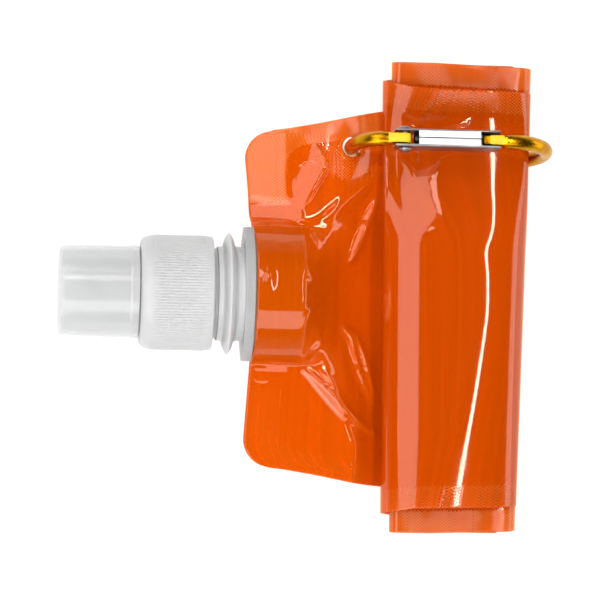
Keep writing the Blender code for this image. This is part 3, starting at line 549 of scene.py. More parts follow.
def helix_ridge(name, root_r, crest_r, start, turns):
    """A screw thread's ridge, with flat ends."""
    mesh = bpy.data.meshes.new(name)
    half_root = 0.8 * MM
    half_crest = 0.35 * MM
    profile = (
        (root_r, 0.0, start + half_root),
        (crest_r, 0.0, start + half_crest),
        (crest_r, 0.0, start - half_crest),
        (root_r, 0.0, start - half_root),
    )
    mesh.from_pydata(profile, ((0, 1), (1, 2), (2, 3), (3, 0)), ())
    obj = new_object(name, mesh)
    screw = obj.modifiers.new("thread", "SCREW")
    screw.axis = "Z"
    screw.angle = TURN * turns
    screw.screw_offset = THREAD_PITCH * turns
    screw.steps = round(96 * turns)
    screw.render_steps = screw.steps
    screw.use_merge_vertices = False
    obj = solid(obj)
    shell = bmesh.new()
    shell.from_mesh(obj.data)
    bmesh.ops.holes_fill(shell, edges=shell.edges, sides=4)
    bmesh.ops.recalc_face_normals(shell, faces=shell.faces)
    shell.to_mesh(obj.data)
    shell.free()
    return obj


def make_cap(material):
    """Ribbed cap: a fluted drum with a rounded shoulder, its bore, deck, snap ring, chimney and plug."""
    ribs = 120
    per_rib = 6
    rib_low = 8.3 * MM
    rib_high = 23.4 * MM
    rib_depth = 0.24 * MM
    valley_r = RIB_PEAK_R - rib_depth
    shoulder = arc((12.05 * MM, 23.75 * MM), 1.95 * MM, 90.0, 0.0, 8)
    chimney = ((4.6, 33.5), (5.8, 33.5), (6.3, 33.2), (6.3, 32.5), (5.8, 32.2))
    profile = [(radius * MM, height * MM) for radius, height in chimney]
    profile += [(5.8 * MM, DECK_TOP), (9.35 * MM, DECK_TOP), (9.35 * MM, 27.3 * MM)]
    profile += [(10.1 * MM, 27.3 * MM), (10.1 * MM, DECK_TOP), *shoulder]
    rows = 10
    for i in range(rows + 1):
        profile.append((valley_r, rib_high + (rib_low - rib_high) * i / rows))
    profile += [(valley_r, CAP_FOOT + 0.2 * MM), (valley_r - 0.2 * MM, CAP_FOOT)]
    profile += [(12.75 * MM, CAP_FOOT), (12.75 * MM, 24.4 * MM), (4.6 * MM, 24.4 * MM)]
    cap = turned("ribbed_cap", profile, closed=True, steps=ribs * per_rib)
    for vertex in cap.data.vertices:
        radius = math.hypot(vertex.co.x, vertex.co.y)
        if radius < 13.6 * MM or not rib_low - MM / 2 < vertex.co.z < rib_high + MM / 2:
            continue
        angle = math.atan2(vertex.co.y, vertex.co.x)
        flute = abs(math.cos(angle * ribs / 2)) ** 0.7
        ends = ease((vertex.co.z - rib_low) / (1.2 * MM)) * ease((rib_high - vertex.co.z) / (1.0 * MM))
        grown = 1.0 + rib_depth / radius * flute * ends
        vertex.co.x *= grown
        vertex.co.y *= grown
    placed(cap, SPOUT_MATRIX, material, 50.0)
    thread = helix_ridge("thread", 13.0 * MM, 11.6 * MM, 15.7 * MM, 1.25)
    placed(thread, SPOUT_MATRIX, material)
    plug_r, plug_top, plug_foot = in_mm(2.2, 39.5, 30.8)
    points = [(0.0, plug_top), (plug_r, plug_top), (plug_r, plug_foot), (0.0, plug_foot)]
    plug = turned("plug", rounded(points, in_mm(0.0, 0.5, 0.3, 0.0)), steps=48)
    for i in range(3):
        spoke = block("spoke", (MM, -0.6 * MM, 31.1 * MM), (5.0 * MM, 0.6 * MM, 32.7 * MM))
        spoke.data.transform(Matrix.Rotation(TURN * i / 3, 4, "Z"))
        plug = combine(plug, spoke, "UNION")
    plug.name = "nozzle_plug"
    placed(plug, SPOUT_MATRIX, material)
    return cap, thread, plug


def make_nozzle(material):
    """Push-pull mouthpiece: skirt flange, body, waist and rolled lip."""
    flange_top = NOZZLE_FOOT + 1.5 * MM
    hole_r, lip_r, body_r, skirt_bore_r, lip_bore_r = in_mm(2.5, 7.8, 7.7, 6.6, 5.0)
    roof = 38.4 * MM
    points = [(hole_r, NOZZLE_TOP), (lip_r, NOZZLE_TOP), (lip_r, 38.2 * MM), (6.9 * MM, 36.2 * MM)]
    points += [(body_r, 33.8 * MM), (body_r, flange_top), (NOZZLE_FLANGE_R, flange_top)]
    points += [(NOZZLE_FLANGE_R, NOZZLE_FOOT), (skirt_bore_r, NOZZLE_FOOT), (skirt_bore_r, 33.9 * MM)]
    points += [(lip_bore_r, 36.0 * MM), (lip_bore_r, roof), (hole_r, roof), (hole_r, NOZZLE_TOP - 0.2 * MM)]
    radii = in_mm(0.0, 0.9, 0.9, 1.2, 0.8, 0.4, 0.4, 0.2, 0.0, 0.4, 0.4, 0.2, 0.1, 0.0)
    nozzle = turned("push_pull_nozzle", rounded(points, radii), closed=True, steps=96)
    return placed(nozzle, SPOUT_MATRIX, material, 45.0)


def make_dust_cap(material):
    """Clear cup with a rounded crown, a slight taper and a thicker lip at its mouth."""
    wall = 1.05 * MM
    tip_r = DUST_BASE_R - 0.35 * MM
    crown_r = 7.0 * MM
    inside_r = DUST_BASE_R - wall
    inside_top = DUST_TOP - wall
    points = [(0.0, DUST_TOP - 0.25 * MM), (crown_r, DUST_TOP - 0.1 * MM), (tip_r, DUST_TOP)]
    points += [(tip_r + 0.1 * MM, DUST_TOP - 4.0 * MM), (DUST_BASE_R - 0.12 * MM, DUST_FOOT + 2.2 * MM)]
    points += [(DUST_BASE_R, DUST_FOOT + 1.8 * MM), (DUST_BASE_R, DUST_FOOT), (inside_r, DUST_FOOT)]
    points += [(inside_r, DUST_FOOT + 2.0 * MM), (tip_r - wall, inside_top), (crown_r, inside_top)]
    points += [(0.0, inside_top - 0.1 * MM)]
    radii = in_mm(0.0, 0.5, 1.5, 0.5, 0.2, 0.2, 0.25, 0.25, 0.3, 1.0, 0.3, 0.0)
    cup = turned("clear_dust_cap", rounded(points, radii, 6))
    return placed(cup, SPOUT_MATRIX, material, 40.0)


def make_liner(material):
    """The sealing washer under the cap's deck."""
    low = SPOUT_FACE_X - LINER_HIGH.x
    high = SPOUT_FACE_X - LINER_LOW.x
    outer = (LINER_HIGH.z - LINER_LOW.z) / 2
    inner = 9.4 * MM
    points = [(inner, high), (outer, high), (outer, low), (inner, low), (inner, high - 0.1 * MM)]
    radii = in_mm(0.0, 0.15, 0.15, 0.15, 0.0)
    liner = turned("sealing_washer", rounded(points, radii, 2), closed=True)
    return placed(liner, SPOUT_MATRIX, material, 40.0)


# ---- film pouch


def half_width(distance):
    """Half the pouch's width at a distance from its shoulder edge."""
    return on_table(HALF_WIDTHS, distance)


def side_shift(distance):
    """How far the pouch's middle lies off the spout's axis at a distance from its shoulder edge."""
    return on_table(SHIFTS, distance)


def waist(y, bar_y):
    """1 where a carabiner bar presses the roll in, easing to 0 beside it."""
    return 1.0 - ease((np.abs(y - bar_y) - WAIST_FLAT) / WAIST_EASE)


def pass_heights(y):
    """Heights of the five flat passes of the rolled pouch at y."""
    bottom = BED_Z + BED_LIFT * waist(y, LOW_BAR_Y)
    top = ROLL_TOP_Z - TOP_DROP * waist(y, HIGH_BAR_Y)
    rise = top - bottom
    return bottom, top, bottom + rise / 4, bottom + rise * 3 / 4, bottom + rise / 2


def crown_reach(y):
    """How far in from the roll's left tip its flat crown starts."""
    heights = pass_heights(y)
    return 18.0 * MM * (heights[1] - heights[0]) / (ROLL_TOP_Z - BED_Z)


def ramp_height(x, y):
    """Height of the pouch's middle between the spout and the bed of the roll."""
    bed = pass_heights(y)[0]
    start_z = SPOUT_AXIS_Z - SIDE_DROP * np.clip((np.abs(y) - SIDE_DROP_START) / SIDE_DROP_SPAN, 0.0, 1.0)
    start_x = RAMP_START_X + RAMP_START_SHIFT * np.minimum(1.0, np.abs(y) / RING_CENTRE_Y)
    past_leaf = np.maximum(x - on_table(LEAF_EDGE, y), 0.0)
    start_z = start_z - LEAF_SLOPE * past_leaf * ease((y - 17.0 * MM) / (3.0 * MM))
    t = np.clip((x - start_x) / (RAMP_END_X - start_x), 0.0, 1.0)
    return bed + (start_z - bed) * (0.5 * (1.0 - ease(t)) + 0.5 * (1.0 - t) ** 2)


def pocket(x, y):
    """Half the gap between the films where they pass round the spout's boat."""
    inside = np.maximum(POCKET_ARC_R**2 - y * y, 0.0)
    bulge = np.maximum(np.sqrt(inside) - POCKET_ARC_OFFSET, 0.0)
    fade = np.clip(1.0 - np.maximum(x - POCKET_FADE_X, 0.0) / POCKET_FADE, 0.0, 1.0) ** 2
    return np.maximum(FILM_GAP / 2, bulge * fade)


def edge_x(y, limit):
    """Where the pouch's shoulder edge lies along X, with its rounded corners."""
    x = on_table(SHOULDER_EDGE, y)
    y = y - SHIFTS[0][1] * MM
    into = np.maximum(np.abs(y) - (limit - SHOULDER_CORNER), 0.0)
    return x + SHOULDER_CORNER - np.sqrt(np.maximum(SHOULDER_CORNER**2 - into**2, 0.0))


# Line along the roll's top, in millimetres, where its crown starts to fall towards its outer side
SHINE_LINE = (
    (33.5, -62.0), (37.4, -43.4), (41.5, -25.3), (44.2, -9.8), (45.1, -2.2), (44.9, 6.0), (44.3, 12.2),
    (46.2, 17.6), (46.6, 24.3), (45.2, 33.0), (44.5, 40.0), (44.8, 62.0),
)


# Rows of the pouch: over the shoulder, on each flat pass, and on each turn's first and second quarter
SHOULDER_ROWS = 69
PASS_STEPS = (16, 12, 10, 10, 14)
TURN_STEPS = ((10, 14), (22, 12), (9, 9), (8, 8))
LAST_PASS = 4


def quarter(tip_x, tip_z, flat_x, flat_z, t, rising):
    """A quarter ellipse between a side tip, where it runs upright, and a flat pass."""
    angle = TURN / 4 * (t if rising else 1.0 - t)
    return flat_x + (tip_x - flat_x) * math.cos(angle), tip_z + (flat_z - tip_z) * math.sin(angle)


def roll_rows():
    """The rows of the pouch's middle surface from the shoulder to the base, each a function of y that
    gives x, z and half the gap between the films."""

    def limits(y):
        left = ROLL_LEFT_X + ROLL_LEFT_SLANT * y + SANDWICH / 2
        right = ROLL_RIGHT_X + ROLL_RIGHT_SLANT * y - SANDWICH / 2
        return left, right

    def shoulder(t):
        def at(y):
            start = edge_x(y, half_width(0.0))
            x = start + (RAMP_END_X - start) * t
            return x, ramp_height(x, y), pocket(x, y)
        return at

    shine_y = [point.y for point in SHINE]
    shine_x = [point.x for point in SHINE]

    def sides(y):
        """For each side of the roll: its tip's inset, and the reach of its first and second quarters."""
        left, right = limits(y)
        crown_end = np.interp(y, shine_y, shine_x) - 0.5 * MM
        crown_start = np.minimum(left + crown_reach(y), crown_end - 0.6 * MM)
        return (
            (0.0, 6.0 * MM, right - crown_end),
            (0.0, crown_start - left, 5.5 * MM),
            (0.2 * MM, 3.6 * MM, 3.6 * MM),
            (2.2 * MM, 2.0 * MM, 2.0 * MM),
        )

    def side_point(index, y, t, second):
        left, right = limits(y)
        heights = pass_heights(y)
        inset, reach_in, reach_out = sides(y)[index]
        direction = 1.0 if index % 2 == 0 else -1.0
        tip = right - inset if direction > 0 else left + inset
        middle = (heights[index] + heights[index + 1]) / 2
        if second:
            return quarter(tip, middle, tip - direction * reach_out, heights[index + 1], t, True)
        return quarter(tip, middle, tip - direction * reach_in, heights[index], t, False)

    def turning(index, t, second):
        def at(y):
            x, z = side_point(index, y, t, second)
            return x, z, np.full_like(y, FILM_GAP / 2)
        return at

    def passing(index, t):
        def at(y):
            if index == 0:
                x0, z0 = np.full_like(y, RAMP_END_X), pass_heights(y)[0]
            else:
                x0, z0 = side_point(index - 1, y, 1.0, True)
            if index == LAST_PASS:
                x1, z1 = limits(y)[1] + SANDWICH / 2 - 5.0 * MM, pass_heights(y)[LAST_PASS]
            else:
                x1, z1 = side_point(index, y, 0.0, False)
            x = x0 + (x1 - x0) * t
            gap = np.full_like(y, FILM_GAP / 2)
            if index == LAST_PASS:
                gap = gap + 0.6 * MM * ease((x - x0) / (2.5 * MM))
            return x, z0 + (z1 - z0) * t, gap
        return at

    rows = [shoulder(i / (SHOULDER_ROWS - 1)) for i in range(SHOULDER_ROWS)]
    for index, (count, (first, second)) in enumerate(zip(PASS_STEPS, TURN_STEPS)):
        rows += [passing(index, i / count) for i in range(1, count)]
        rows += [turning(index, i / first, False) for i in range(first)]
        rows += [turning(index, i / second, True) for i in range(second + 1)]
    count = PASS_STEPS[LAST_PASS]
    return rows + [passing(LAST_PASS, i / count) for i in range(1, count + 1)]


def along(points, count=24):
    """A smooth line through given points."""
    points = [Vector(p) for p in points]
    points = [points[0] * 2 - points[1], *points, points[-1] * 2 - points[-2]]
    made = []
    spans = len(points) - 3
    for i in range(count + 1):
        place = i / count * spans
        k = min(int(place), spans - 1)
        t = place - k
        a, b, c, d = points[k : k + 4]
        square = (2 * a - 5 * b + 4 * c - d) * t**2
        made.append(0.5 * (2 * b + (c - a) * t + square + (3 * b - a - 3 * c + d) * t**3))
    return made


SHINE = along([(a * MM, b * MM) for a, b in SHINE_LINE], 90)


def crease(x, y, points, height, left, right, wedge=False):
    """A folded ridge along a line through points in millimetres: left and right are its widths on either
    side. It fades at both ends, or with wedge it grows from its first point to its last."""
    blunt = 0.22
    line = along([(a * MM, b * MM) for a, b in points])
    best = np.full(x.shape, 1e9)
    side = np.zeros(x.shape)
    share = np.zeros(x.shape)
    for i, (a, b) in enumerate(zip(line, line[1:])):
        dx = b.x - a.x
        dy = b.y - a.y
        length2 = dx * dx + dy * dy
        t = np.clip(((x - a.x) * dx + (y - a.y) * dy) / length2, 0.0, 1.0)
        distance = np.hypot(x - a.x - t * dx, y - a.y - t * dy)
        near = distance < best
        best = np.where(near, distance, best)
        side = np.where(near, dx * (y - a.y) - dy * (x - a.x), side)
        share = np.where(near, (i + t) / (len(line) - 1), share)
    if wedge:
        swell = share * ease((1.0 - share) / 0.06)
    else:
        swell = np.sin(np.pi * np.clip(share, 0.0, 1.0)) ** 0.6
    width = np.where(side > 0.0, left, right) * (0.15 + 0.85 * swell)
    tent = np.clip(1.0 - best / width, 0.0, 1.0)
    soft = np.sqrt(tent * tent + blunt * blunt) - blunt
    return height * swell * soft


# Creases of the front film over the shoulder, in millimetres: points, height, widths to the left and to the
# right of the line's run, and True where it is a wedge
CREASES = (
    # fold from the boat's corner up to the carabiner, and the thin lines beside it
    (((-1.8, 18.1), (2.9, 18.9), (6.4, 21.1), (11.5, 25.5), (17.7, 30.6), (22.0, 33.6)), 1.05, 1.9, 3.0),
    (((8.0, 25.6), (12.4, 28.6), (18.5, 32.0)), 0.3, 0.6, 0.6),
    (((8.0, 20.0), (12.8, 22.0), (16.4, 25.2)), 0.3, 0.5, 0.5),
    (((10.2, 22.4), (13.0, 24.2), (16.2, 26.6)), 0.5, 0.7, 1.0),
    # tall fold beside the roll, with its thin companion
    (((11.4, 8.2), (13.6, 12.6), (15.8, 18.2), (18.4, 25.4)), 3.7, 2.8, 1.2),
    (((12.4, 8.2), (14.2, 11.0), (15.9, 16.2), (16.9, 22.5)), 0.3, 0.5, 0.5),
    # fan beside the boat
    (((9.6, 7.1), (5.0, 5.5), (-0.4, 3.2)), 2.3, 0.6, 5.4, True),
    (((1.0, 1.8), (5.6, 3.9), (10.0, 7.0)), 0.7, 1.2, 0.7),
    (((-0.8, 17.3), (3.7, 14.5), (7.6, 10.2)), 0.35, 0.5, 0.5),
    (((-0.6, 16.4), (2.6, 13.6)), 0.4, 0.5, 0.9),
    (((-1.0, 12.1), (3.1, 9.9), (6.6, 8.4), (10.2, 8.3)), 0.4, 0.5, 0.5),
    (((-1.2, 13.8), (1.6, 11.9)), 0.4, 0.5, 0.8),
    (((3.0, 11.9), (5.6, 9.9)), 0.3, 0.6, 0.8),
    # fan and long fold towards the roll's far end
    (((9.8, -6.3), (4.2, -4.7), (-0.6, -3.0)), 2.1, 5.8, 0.6, True),
    (((9.6, -7.4), (13.2, -9.8), (16.0, -15.4), (17.6, -21.2), (20.2, -29.5)), 2.9, 0.9, 2.2),
    (((9.6, -7.8), (12.1, -10.4), (13.8, -15.6), (15.9, -21.3), (19.4, -29.5)), 2.6, 0.5, 2.0),
    (((-2.2, -16.6), (1.6, -13.4), (6.4, -9.4)), 0.6, 0.5, 1.6),
    # fold from the boat's other corner
    (
        ((-1.4, -17.8), (1.8, -19.3), (5.0, -22.1), (8.3, -25.5), (11.6, -29.0), (14.8, -31.5), (20.6, -35.2)),
        1.9, 0.5, 2.9,
    ),
    (((9.4, -27.2), (13.4, -30.7), (17.0, -33.0), (20.8, -35.8)), 2.0, 0.5, 2.2),
    (((3.4, -17.8), (6.4, -20.4), (8.6, -24.0), (11.4, -27.6)), 1.2, 0.5, 2.0),
    # the pocket's leaf beside the seal, and its inner line
    (((-1.2, 21.2), (1.6, 26.6), (4.6, 32.8), (2.2, 38.4)), 2.3, 7.4, 0.6),
    (((-2.6, 22.6), (-3.6, 28.0), (-1.8, 34.6), (1.4, 33.6)), 0.12, 0.5, 0.5),
    # puckers where the film turns on to the boat
    (((-13.4, -18.2), (-8.0, -17.9), (-2.6, -18.2)), 0.7, 0.7, 0.9),
    (((-13.8, -19.6), (-11.0, -21.4), (-8.0, -20.6)), 0.4, 0.9, 0.6),
    (((-12.4, 14.7), (-7.0, 14.9), (-1.7, 14.5)), 0.22, 0.45, 0.45),
    (((-12.4, 12.5), (-7.0, 12.7), (-1.7, 12.4)), 0.18, 0.4, 0.4),
    (((-12.6, -12.9), (-7.0, -13.1), (-1.7, -12.7)), 0.22, 0.45, 0.45),
    (((-1.7, -6.8), (-1.8, 1.0), (-1.7, 9.6)), 0.2, 0.4, 0.4),
    (((-11.9, -7.0), (-12.0, 1.0), (-11.9, 9.0)), 0.12, 0.35, 0.35),
    (((12.9, -6.2), (13.2, -4.6), (12.9, -3.0)), 0.5, 0.8, 0.8),
)


def corner_lift(x, y):
    """The shoulder's carabiner-side corner, which leans towards the spout, most beside the boat."""
    upper = ease((y - 21.0 * MM) / (5.0 * MM))
    steep = 0.30 - 0.07 * upper
    fold_x = -1.3 * MM - 4.1 * MM * upper
    return -steep * np.maximum(fold_x - x, 0.0) * ease((y - 18.0 * MM) / (0.9 * MM))


def shoulder_relief(x, y):
    """How far the front film stands off its plain shape over the shoulder."""
    relief = np.zeros(x.shape)
    for points, height, left, right, *wedge in CREASES:
        relief += crease(x, y, points, height * MM, left * MM, right * MM, *wedge)
    boat = ease((-1.4 * MM - x) / (0.6 * MM)) * ease((x + 13.0 * MM) / (0.5 * MM))
    ribs = 0.5 + 0.5 * np.cos(TURN * (x + 2.9 * MM) / (2.2 * MM))
    relief += 0.14 * MM * boat * ribs**3 * np.exp(-(((y - 2.0 * MM) / (1.1 * MM)) ** 2))
    swelling = np.exp(-(((x + 10.2 * MM) / (1.3 * MM)) ** 2) - ((y - 4.0 * MM) / (2.4 * MM)) ** 2)
    return relief + 0.5 * MM * boat * swelling


# Where the slope beside the gate meets the roll's flat crown: y and x, in millimetres
SLOPE_EDGE = ((8.0, 28.5), (15.3, 29.5), (17.6, 34.2), (21.0, 33.8), (26.3, 32.6), (30.3, 32.4), (36.5, 35.0))


def roll_relief(x, y, left, right):
    """Dents in the outside of the roll's top, as heights, between its left and right tips."""
    pressed = ease((y - 12.0 * MM) / (12.0 * MM)) * ease((41.5 * MM - y) / (4.0 * MM))
    reach = crown_reach(y)
    share = np.sqrt(np.clip(1.0 - (np.maximum(left + reach - x, 0.0) / reach) ** 2, 0.0, 1.0))
    slope = 0.22 * pressed * share * np.clip(on_table(SLOPE_EDGE, y) - x, 0.0, 9.0 * MM)
    relief = np.zeros(x.shape)
    for points, height, left_width, right_width in ROLL_CREASES:
        relief += crease(x, y, points, height * MM, left_width * MM, right_width * MM)
    return relief * ease((right - 4.0 * MM - x) / (5.0 * MM)) * ease((x - left - MM) / (4.0 * MM)) - slope


# Wrinkles of the roll's top beside the gate, in millimetres: points, height, widths to the left and right
ROLL_CREASES = (
    (((22.8, 37.2), (24.2, 34.8), (25.8, 32.2), (26.6, 30.6)), 0.45, 1.0, 1.6),
    (((23.6, 46.0), (27.6, 43.4), (30.6, 44.6)), -0.6, 1.3, 1.3),
    (((28.6, 46.6), (31.6, 44.6), (35.0, 45.4)), -0.5, 1.2, 1.2),
    (((33.0, 43.4), (37.6, 44.0), (41.0, 46.4)), 0.5, 1.6, 1.4),
    (((24.0, 42.2), (32.0, 41.4), (41.0, 42.6)), 0.4, 1.4, 1.4),
    (((33.6, -46.0), (34.4, 0.0), (34.0, 31.0)), 0.07, 0.5, 0.5),
)


def film_grids():
    """Vertex grids of the front and the back film's middle surfaces, with each point's distance along the
    pouch, its distance across and how far it is inside the seals."""
    rows = roll_rows()
    columns = 150
    across = np.linspace(-1.0, 1.0, columns + 1)
    across = np.sign(across) * (1.0 - (1.0 - np.abs(across)) ** 1.15)
    centre = np.array([[float(v[0]) for v in row(np.zeros(1))] for row in rows])
    steps = np.hypot(np.diff(centre[:, 0]), np.diff(centre[:, 1]))
    distance = np.concatenate([[0.0], np.cumsum(steps)]) + (EDGE_CENTRE_X - EDGE_SIDE_X)
    middle = np.zeros((len(rows), columns + 1, 3))
    gap = np.zeros((len(rows), columns + 1))
    for i, row in enumerate(rows):
        y = across * half_width(distance[i]) + side_shift(distance[i])
        x, z, half_gap = row(y)
        middle[i, :, 0] = x
        middle[i, :, 1] = y
        middle[i, :, 2] = z
        gap[i] = half_gap
    return middle, gap, distance, across


def grid_normals(grid):
    """Unit normals of a vertex grid."""
    along_rows = np.gradient(grid, axis=0)
    along_columns = np.gradient(grid, axis=1)
    normal = np.cross(along_rows, along_columns)
    return normal / np.maximum(np.linalg.norm(normal, axis=2, keepdims=True), 1e-12)


# The rows on the roll's outside top: from halfway up its first turn to the end of its second
TOP_START = SHOULDER_ROWS + PASS_STEPS[0] - 1 + TURN_STEPS[0][0] // 2
TOP_END = SHOULDER_ROWS + sum(PASS_STEPS[:2]) - 2 + sum(TURN_STEPS[0]) + 1 + TURN_STEPS[1][0] + 1


# The embossed seals: width along the pouch's sides, where the shoulder's ends along X and starts beside the
# boat, and how strong their look is on the roll's top, on the shoulder's near side and round the eyelets
SIDE_SEAL = 5.7 * MM
EDGE_SEAL_X = -5.6 * MM
EDGE_SEAL_Y = 22.6 * MM
TOP_SEAL = 0.45
NEAR_SHOULDER_SEAL = 0.12
EYELET_SEAL = 0.25


def film_mesh(name, grid, distance, across, seal, material, eyelet):
    """A film from its grid, with a thickness, its seal attribute, its flat layout and its eyelet."""
    count_rows, count_columns = grid.shape[:2]
    eyelet_x, eyelet_y, eyelet_r = eyelet
    hole = np.hypot(grid[..., 0] - eyelet_x, grid[..., 1] - eyelet_y)
    hole[SHOULDER_ROWS:] = 1.0
    spacing = 0.45 * MM
    tiny = 1e-9
    snap = (np.abs(hole - eyelet_r) < spacing) & (hole > tiny)
    pull = np.where(snap, eyelet_r / np.maximum(hole, tiny), 1.0)
    grid = grid.copy()
    grid[..., 0] = eyelet_x + (grid[..., 0] - eyelet_x) * pull
    grid[..., 1] = eyelet_y + (grid[..., 1] - eyelet_y) * pull
    inside = hole < eyelet_r + spacing
    index = np.arange(count_rows * count_columns).reshape(count_rows, count_columns)
    kept = ~(inside[:-1, :-1] & inside[1:, :-1] & inside[:-1, 1:] & inside[1:, 1:])
    faces = np.stack((index[:-1, :-1], index[1:, :-1], index[1:, 1:], index[:-1, 1:]), axis=-1)[kept]
    mesh = bpy.data.meshes.new(name)
    mesh.from_pydata(grid.reshape(-1, 3).tolist(), [], faces.tolist())
    layout = np.zeros((count_rows, count_columns, 2))
    layout[..., 0] = distance[:, None]
    layout[..., 1] = across[None, :] * half_width(distance)[:, None]
    layout = layout.reshape(-1, 2)
    uv = mesh.uv_layers.new(name="film")
    loops = np.zeros(len(mesh.loops), np.int64)
    mesh.loops.foreach_get("vertex_index", loops)
    uv.data.foreach_set("uv", layout[loops].astype(np.float32).ravel())
    attribute = mesh.attributes.new("seal", "FLOAT", "POINT")
    attribute.data.foreach_set("value", seal.astype(np.float32).ravel())
    obj = new_object(name, mesh)
    shell = bmesh.new()
    shell.from_mesh(mesh)
    loose = [v for v in shell.verts if not v.link_faces]
    bmesh.ops.delete(shell, geom=loose, context="VERTS")
    shell.to_mesh(mesh)
    shell.free()
    solidify = obj.modifiers.new("thickness", "SOLIDIFY")
    solidify.thickness = FILM
    solidify.offset = 0.0
    mesh.materials.append(material)
    mesh.shade_smooth()
    return obj


def make_films(material):
    """The front and the back film, each in one sheet from the shoulder edge to the roll's core."""
    middle, gap, distance, across = film_grids()
    x, y = middle[..., 0], middle[..., 1]
    count = len(distance)
    is_shoulder = (np.arange(count) < SHOULDER_ROWS)[:, None]
    fade_to_roll = ease((RAMP_END_X - 1.5 * MM - x) / (4.0 * MM)) * is_shoulder
    middle[..., 2] += corner_lift(x, y) * fade_to_roll
    top = np.zeros(count)
    top[TOP_START:TOP_END] = 1.0
    middle[..., 2] += roll_relief(x, y, ROLL_LEFT_X + SANDWICH / 2, ROLL_RIGHT_X) * top[:, None]
    normal = grid_normals(middle)
    offset = (gap + FILM / 2)[..., None]
    upright = is_shoulder[..., None] * np.array([0.0, 0.0, 1.0])
    blend_in = ease((gap - 0.3 * MM) / (1.0 * MM))[..., None] * is_shoulder[..., None]
    front = (middle + normal * offset) * (1 - blend_in) + (middle + upright * offset) * blend_in
    back = (middle - normal * offset) * (1 - blend_in) + (middle - upright * offset) * blend_in
    front[..., 2] += shoulder_relief(x, y) * fade_to_roll
    back[..., 2] -= 0.3 * shoulder_relief(x, -y) * fade_to_roll
    from_side = half_width(distance)[:, None] * (1.0 - np.abs(across))[None, :]
    corner_r = 5.0 * MM
    past_side = np.maximum(corner_r - (from_side - SIDE_SEAL), 0.0)
    past_edge = np.maximum(corner_r - (x - EDGE_SEAL_X), 0.0) * ease((np.abs(y) - EDGE_SEAL_Y) / (1.0 * MM))
    seal = ease((np.hypot(past_side, past_edge * is_shoulder) - corner_r + 0.2 * MM) / (0.5 * MM))
    eyelet_patch = ease((9.5 * MM - np.hypot(x - FRONT_EYELET[0], y - FRONT_EYELET[1])) / (1.5 * MM))
    seal = np.maximum(seal, EYELET_SEAL * (eyelet_patch * is_shoulder))
    seal = np.where(top[:, None] > 0.0, seal * TOP_SEAL, seal)
    seal = np.where(is_shoulder & (y < 0), seal * NEAR_SHOULDER_SEAL, seal)
    front_film = film_mesh("front_film", front, distance, across, seal, material, FRONT_EYELET)
    back_film = film_mesh("back_film", back, distance, across, seal, material, BACK_EYELET)
    return front_film, back_film


def make_gusset(material):
    """The folded gusset in the roll's core, between the two films at the pouch's base."""
    columns = 60
    leaf_steps = 12
    fold_steps = 6
    half, depth, half_length, pouch_half = in_mm(0.3, 22.0, 58.7, 59.2)
    rows = [(1.0 - i / leaf_steps, half) for i in range(leaf_steps + 1)]
    for i in range(1, fold_steps):
        angle = math.pi * i / fold_steps
        rows.append((-half * math.sin(angle) / depth, half * math.cos(angle)))
    rows += [(i / leaf_steps, -half) for i in range(leaf_steps + 1)]
    y = np.linspace(-half_length, half_length, columns + 1)
    end_x = ROLL_RIGHT_X + ROLL_RIGHT_SLANT * y - 5.3 * MM
    grid = np.zeros((len(rows), columns + 1, 3))
    for i, (share, lift) in enumerate(rows):
        grid[i, :, 0] = end_x - depth + depth * share
        grid[i, :, 1] = y
        grid[i, :, 2] = pass_heights(y)[LAST_PASS] + lift
    distance = np.linspace(0.0, 2 * depth, len(rows))
    seal = np.broadcast_to(ease((np.abs(y) - 51.0 * MM) / MM), (len(rows), columns + 1))
    return film_mesh("gusset_sheet", grid, distance, y / pouch_half, seal, material, FRONT_EYELET)


# ---- carabiner


BAR_OFFSET = 10.3 * MM
RING_TILT = math.radians(78.0)
RING_MIDDLE_Z = 12.0 * MM
RING_MATRIX = Matrix.Translation((0.0, RING_CENTRE_Y, RING_MIDDLE_Z)) @ Matrix.Rotation(RING_TILT, 4, "X")
PIVOT_X = 23.2 * MM
ROD_R = 1.85 * MM
PIVOT_MATRIX = Matrix.Translation((PIVOT_X, BAR_OFFSET, 0.0))

# The rod's nose, in millimetres: x, shift off the bar's line, half width, half thickness and squareness
NOSE = (
    (48.5, 0.0, 1.85, 1.85, 0.0),
    (48.2, 0.15, 1.6, 1.5, 0.6),
    (47.9, 0.3, 1.35, 1.3, 1.0),
    (44.6, 0.3, 1.35, 1.3, 1.0),
    (44.4, 0.3, 1.2, 1.15, 1.0),
    (43.0, 0.3, 1.2, 1.15, 1.0),
    (42.6, 0.3, 0.8, 0.9, 1.0),
)


def pivot_hole(reach):
    """A cutter for the hinge pin's hole."""
    return lay(disc("hole", 1.15 * MM, -reach, reach, 32), PIVOT_MATRIX)


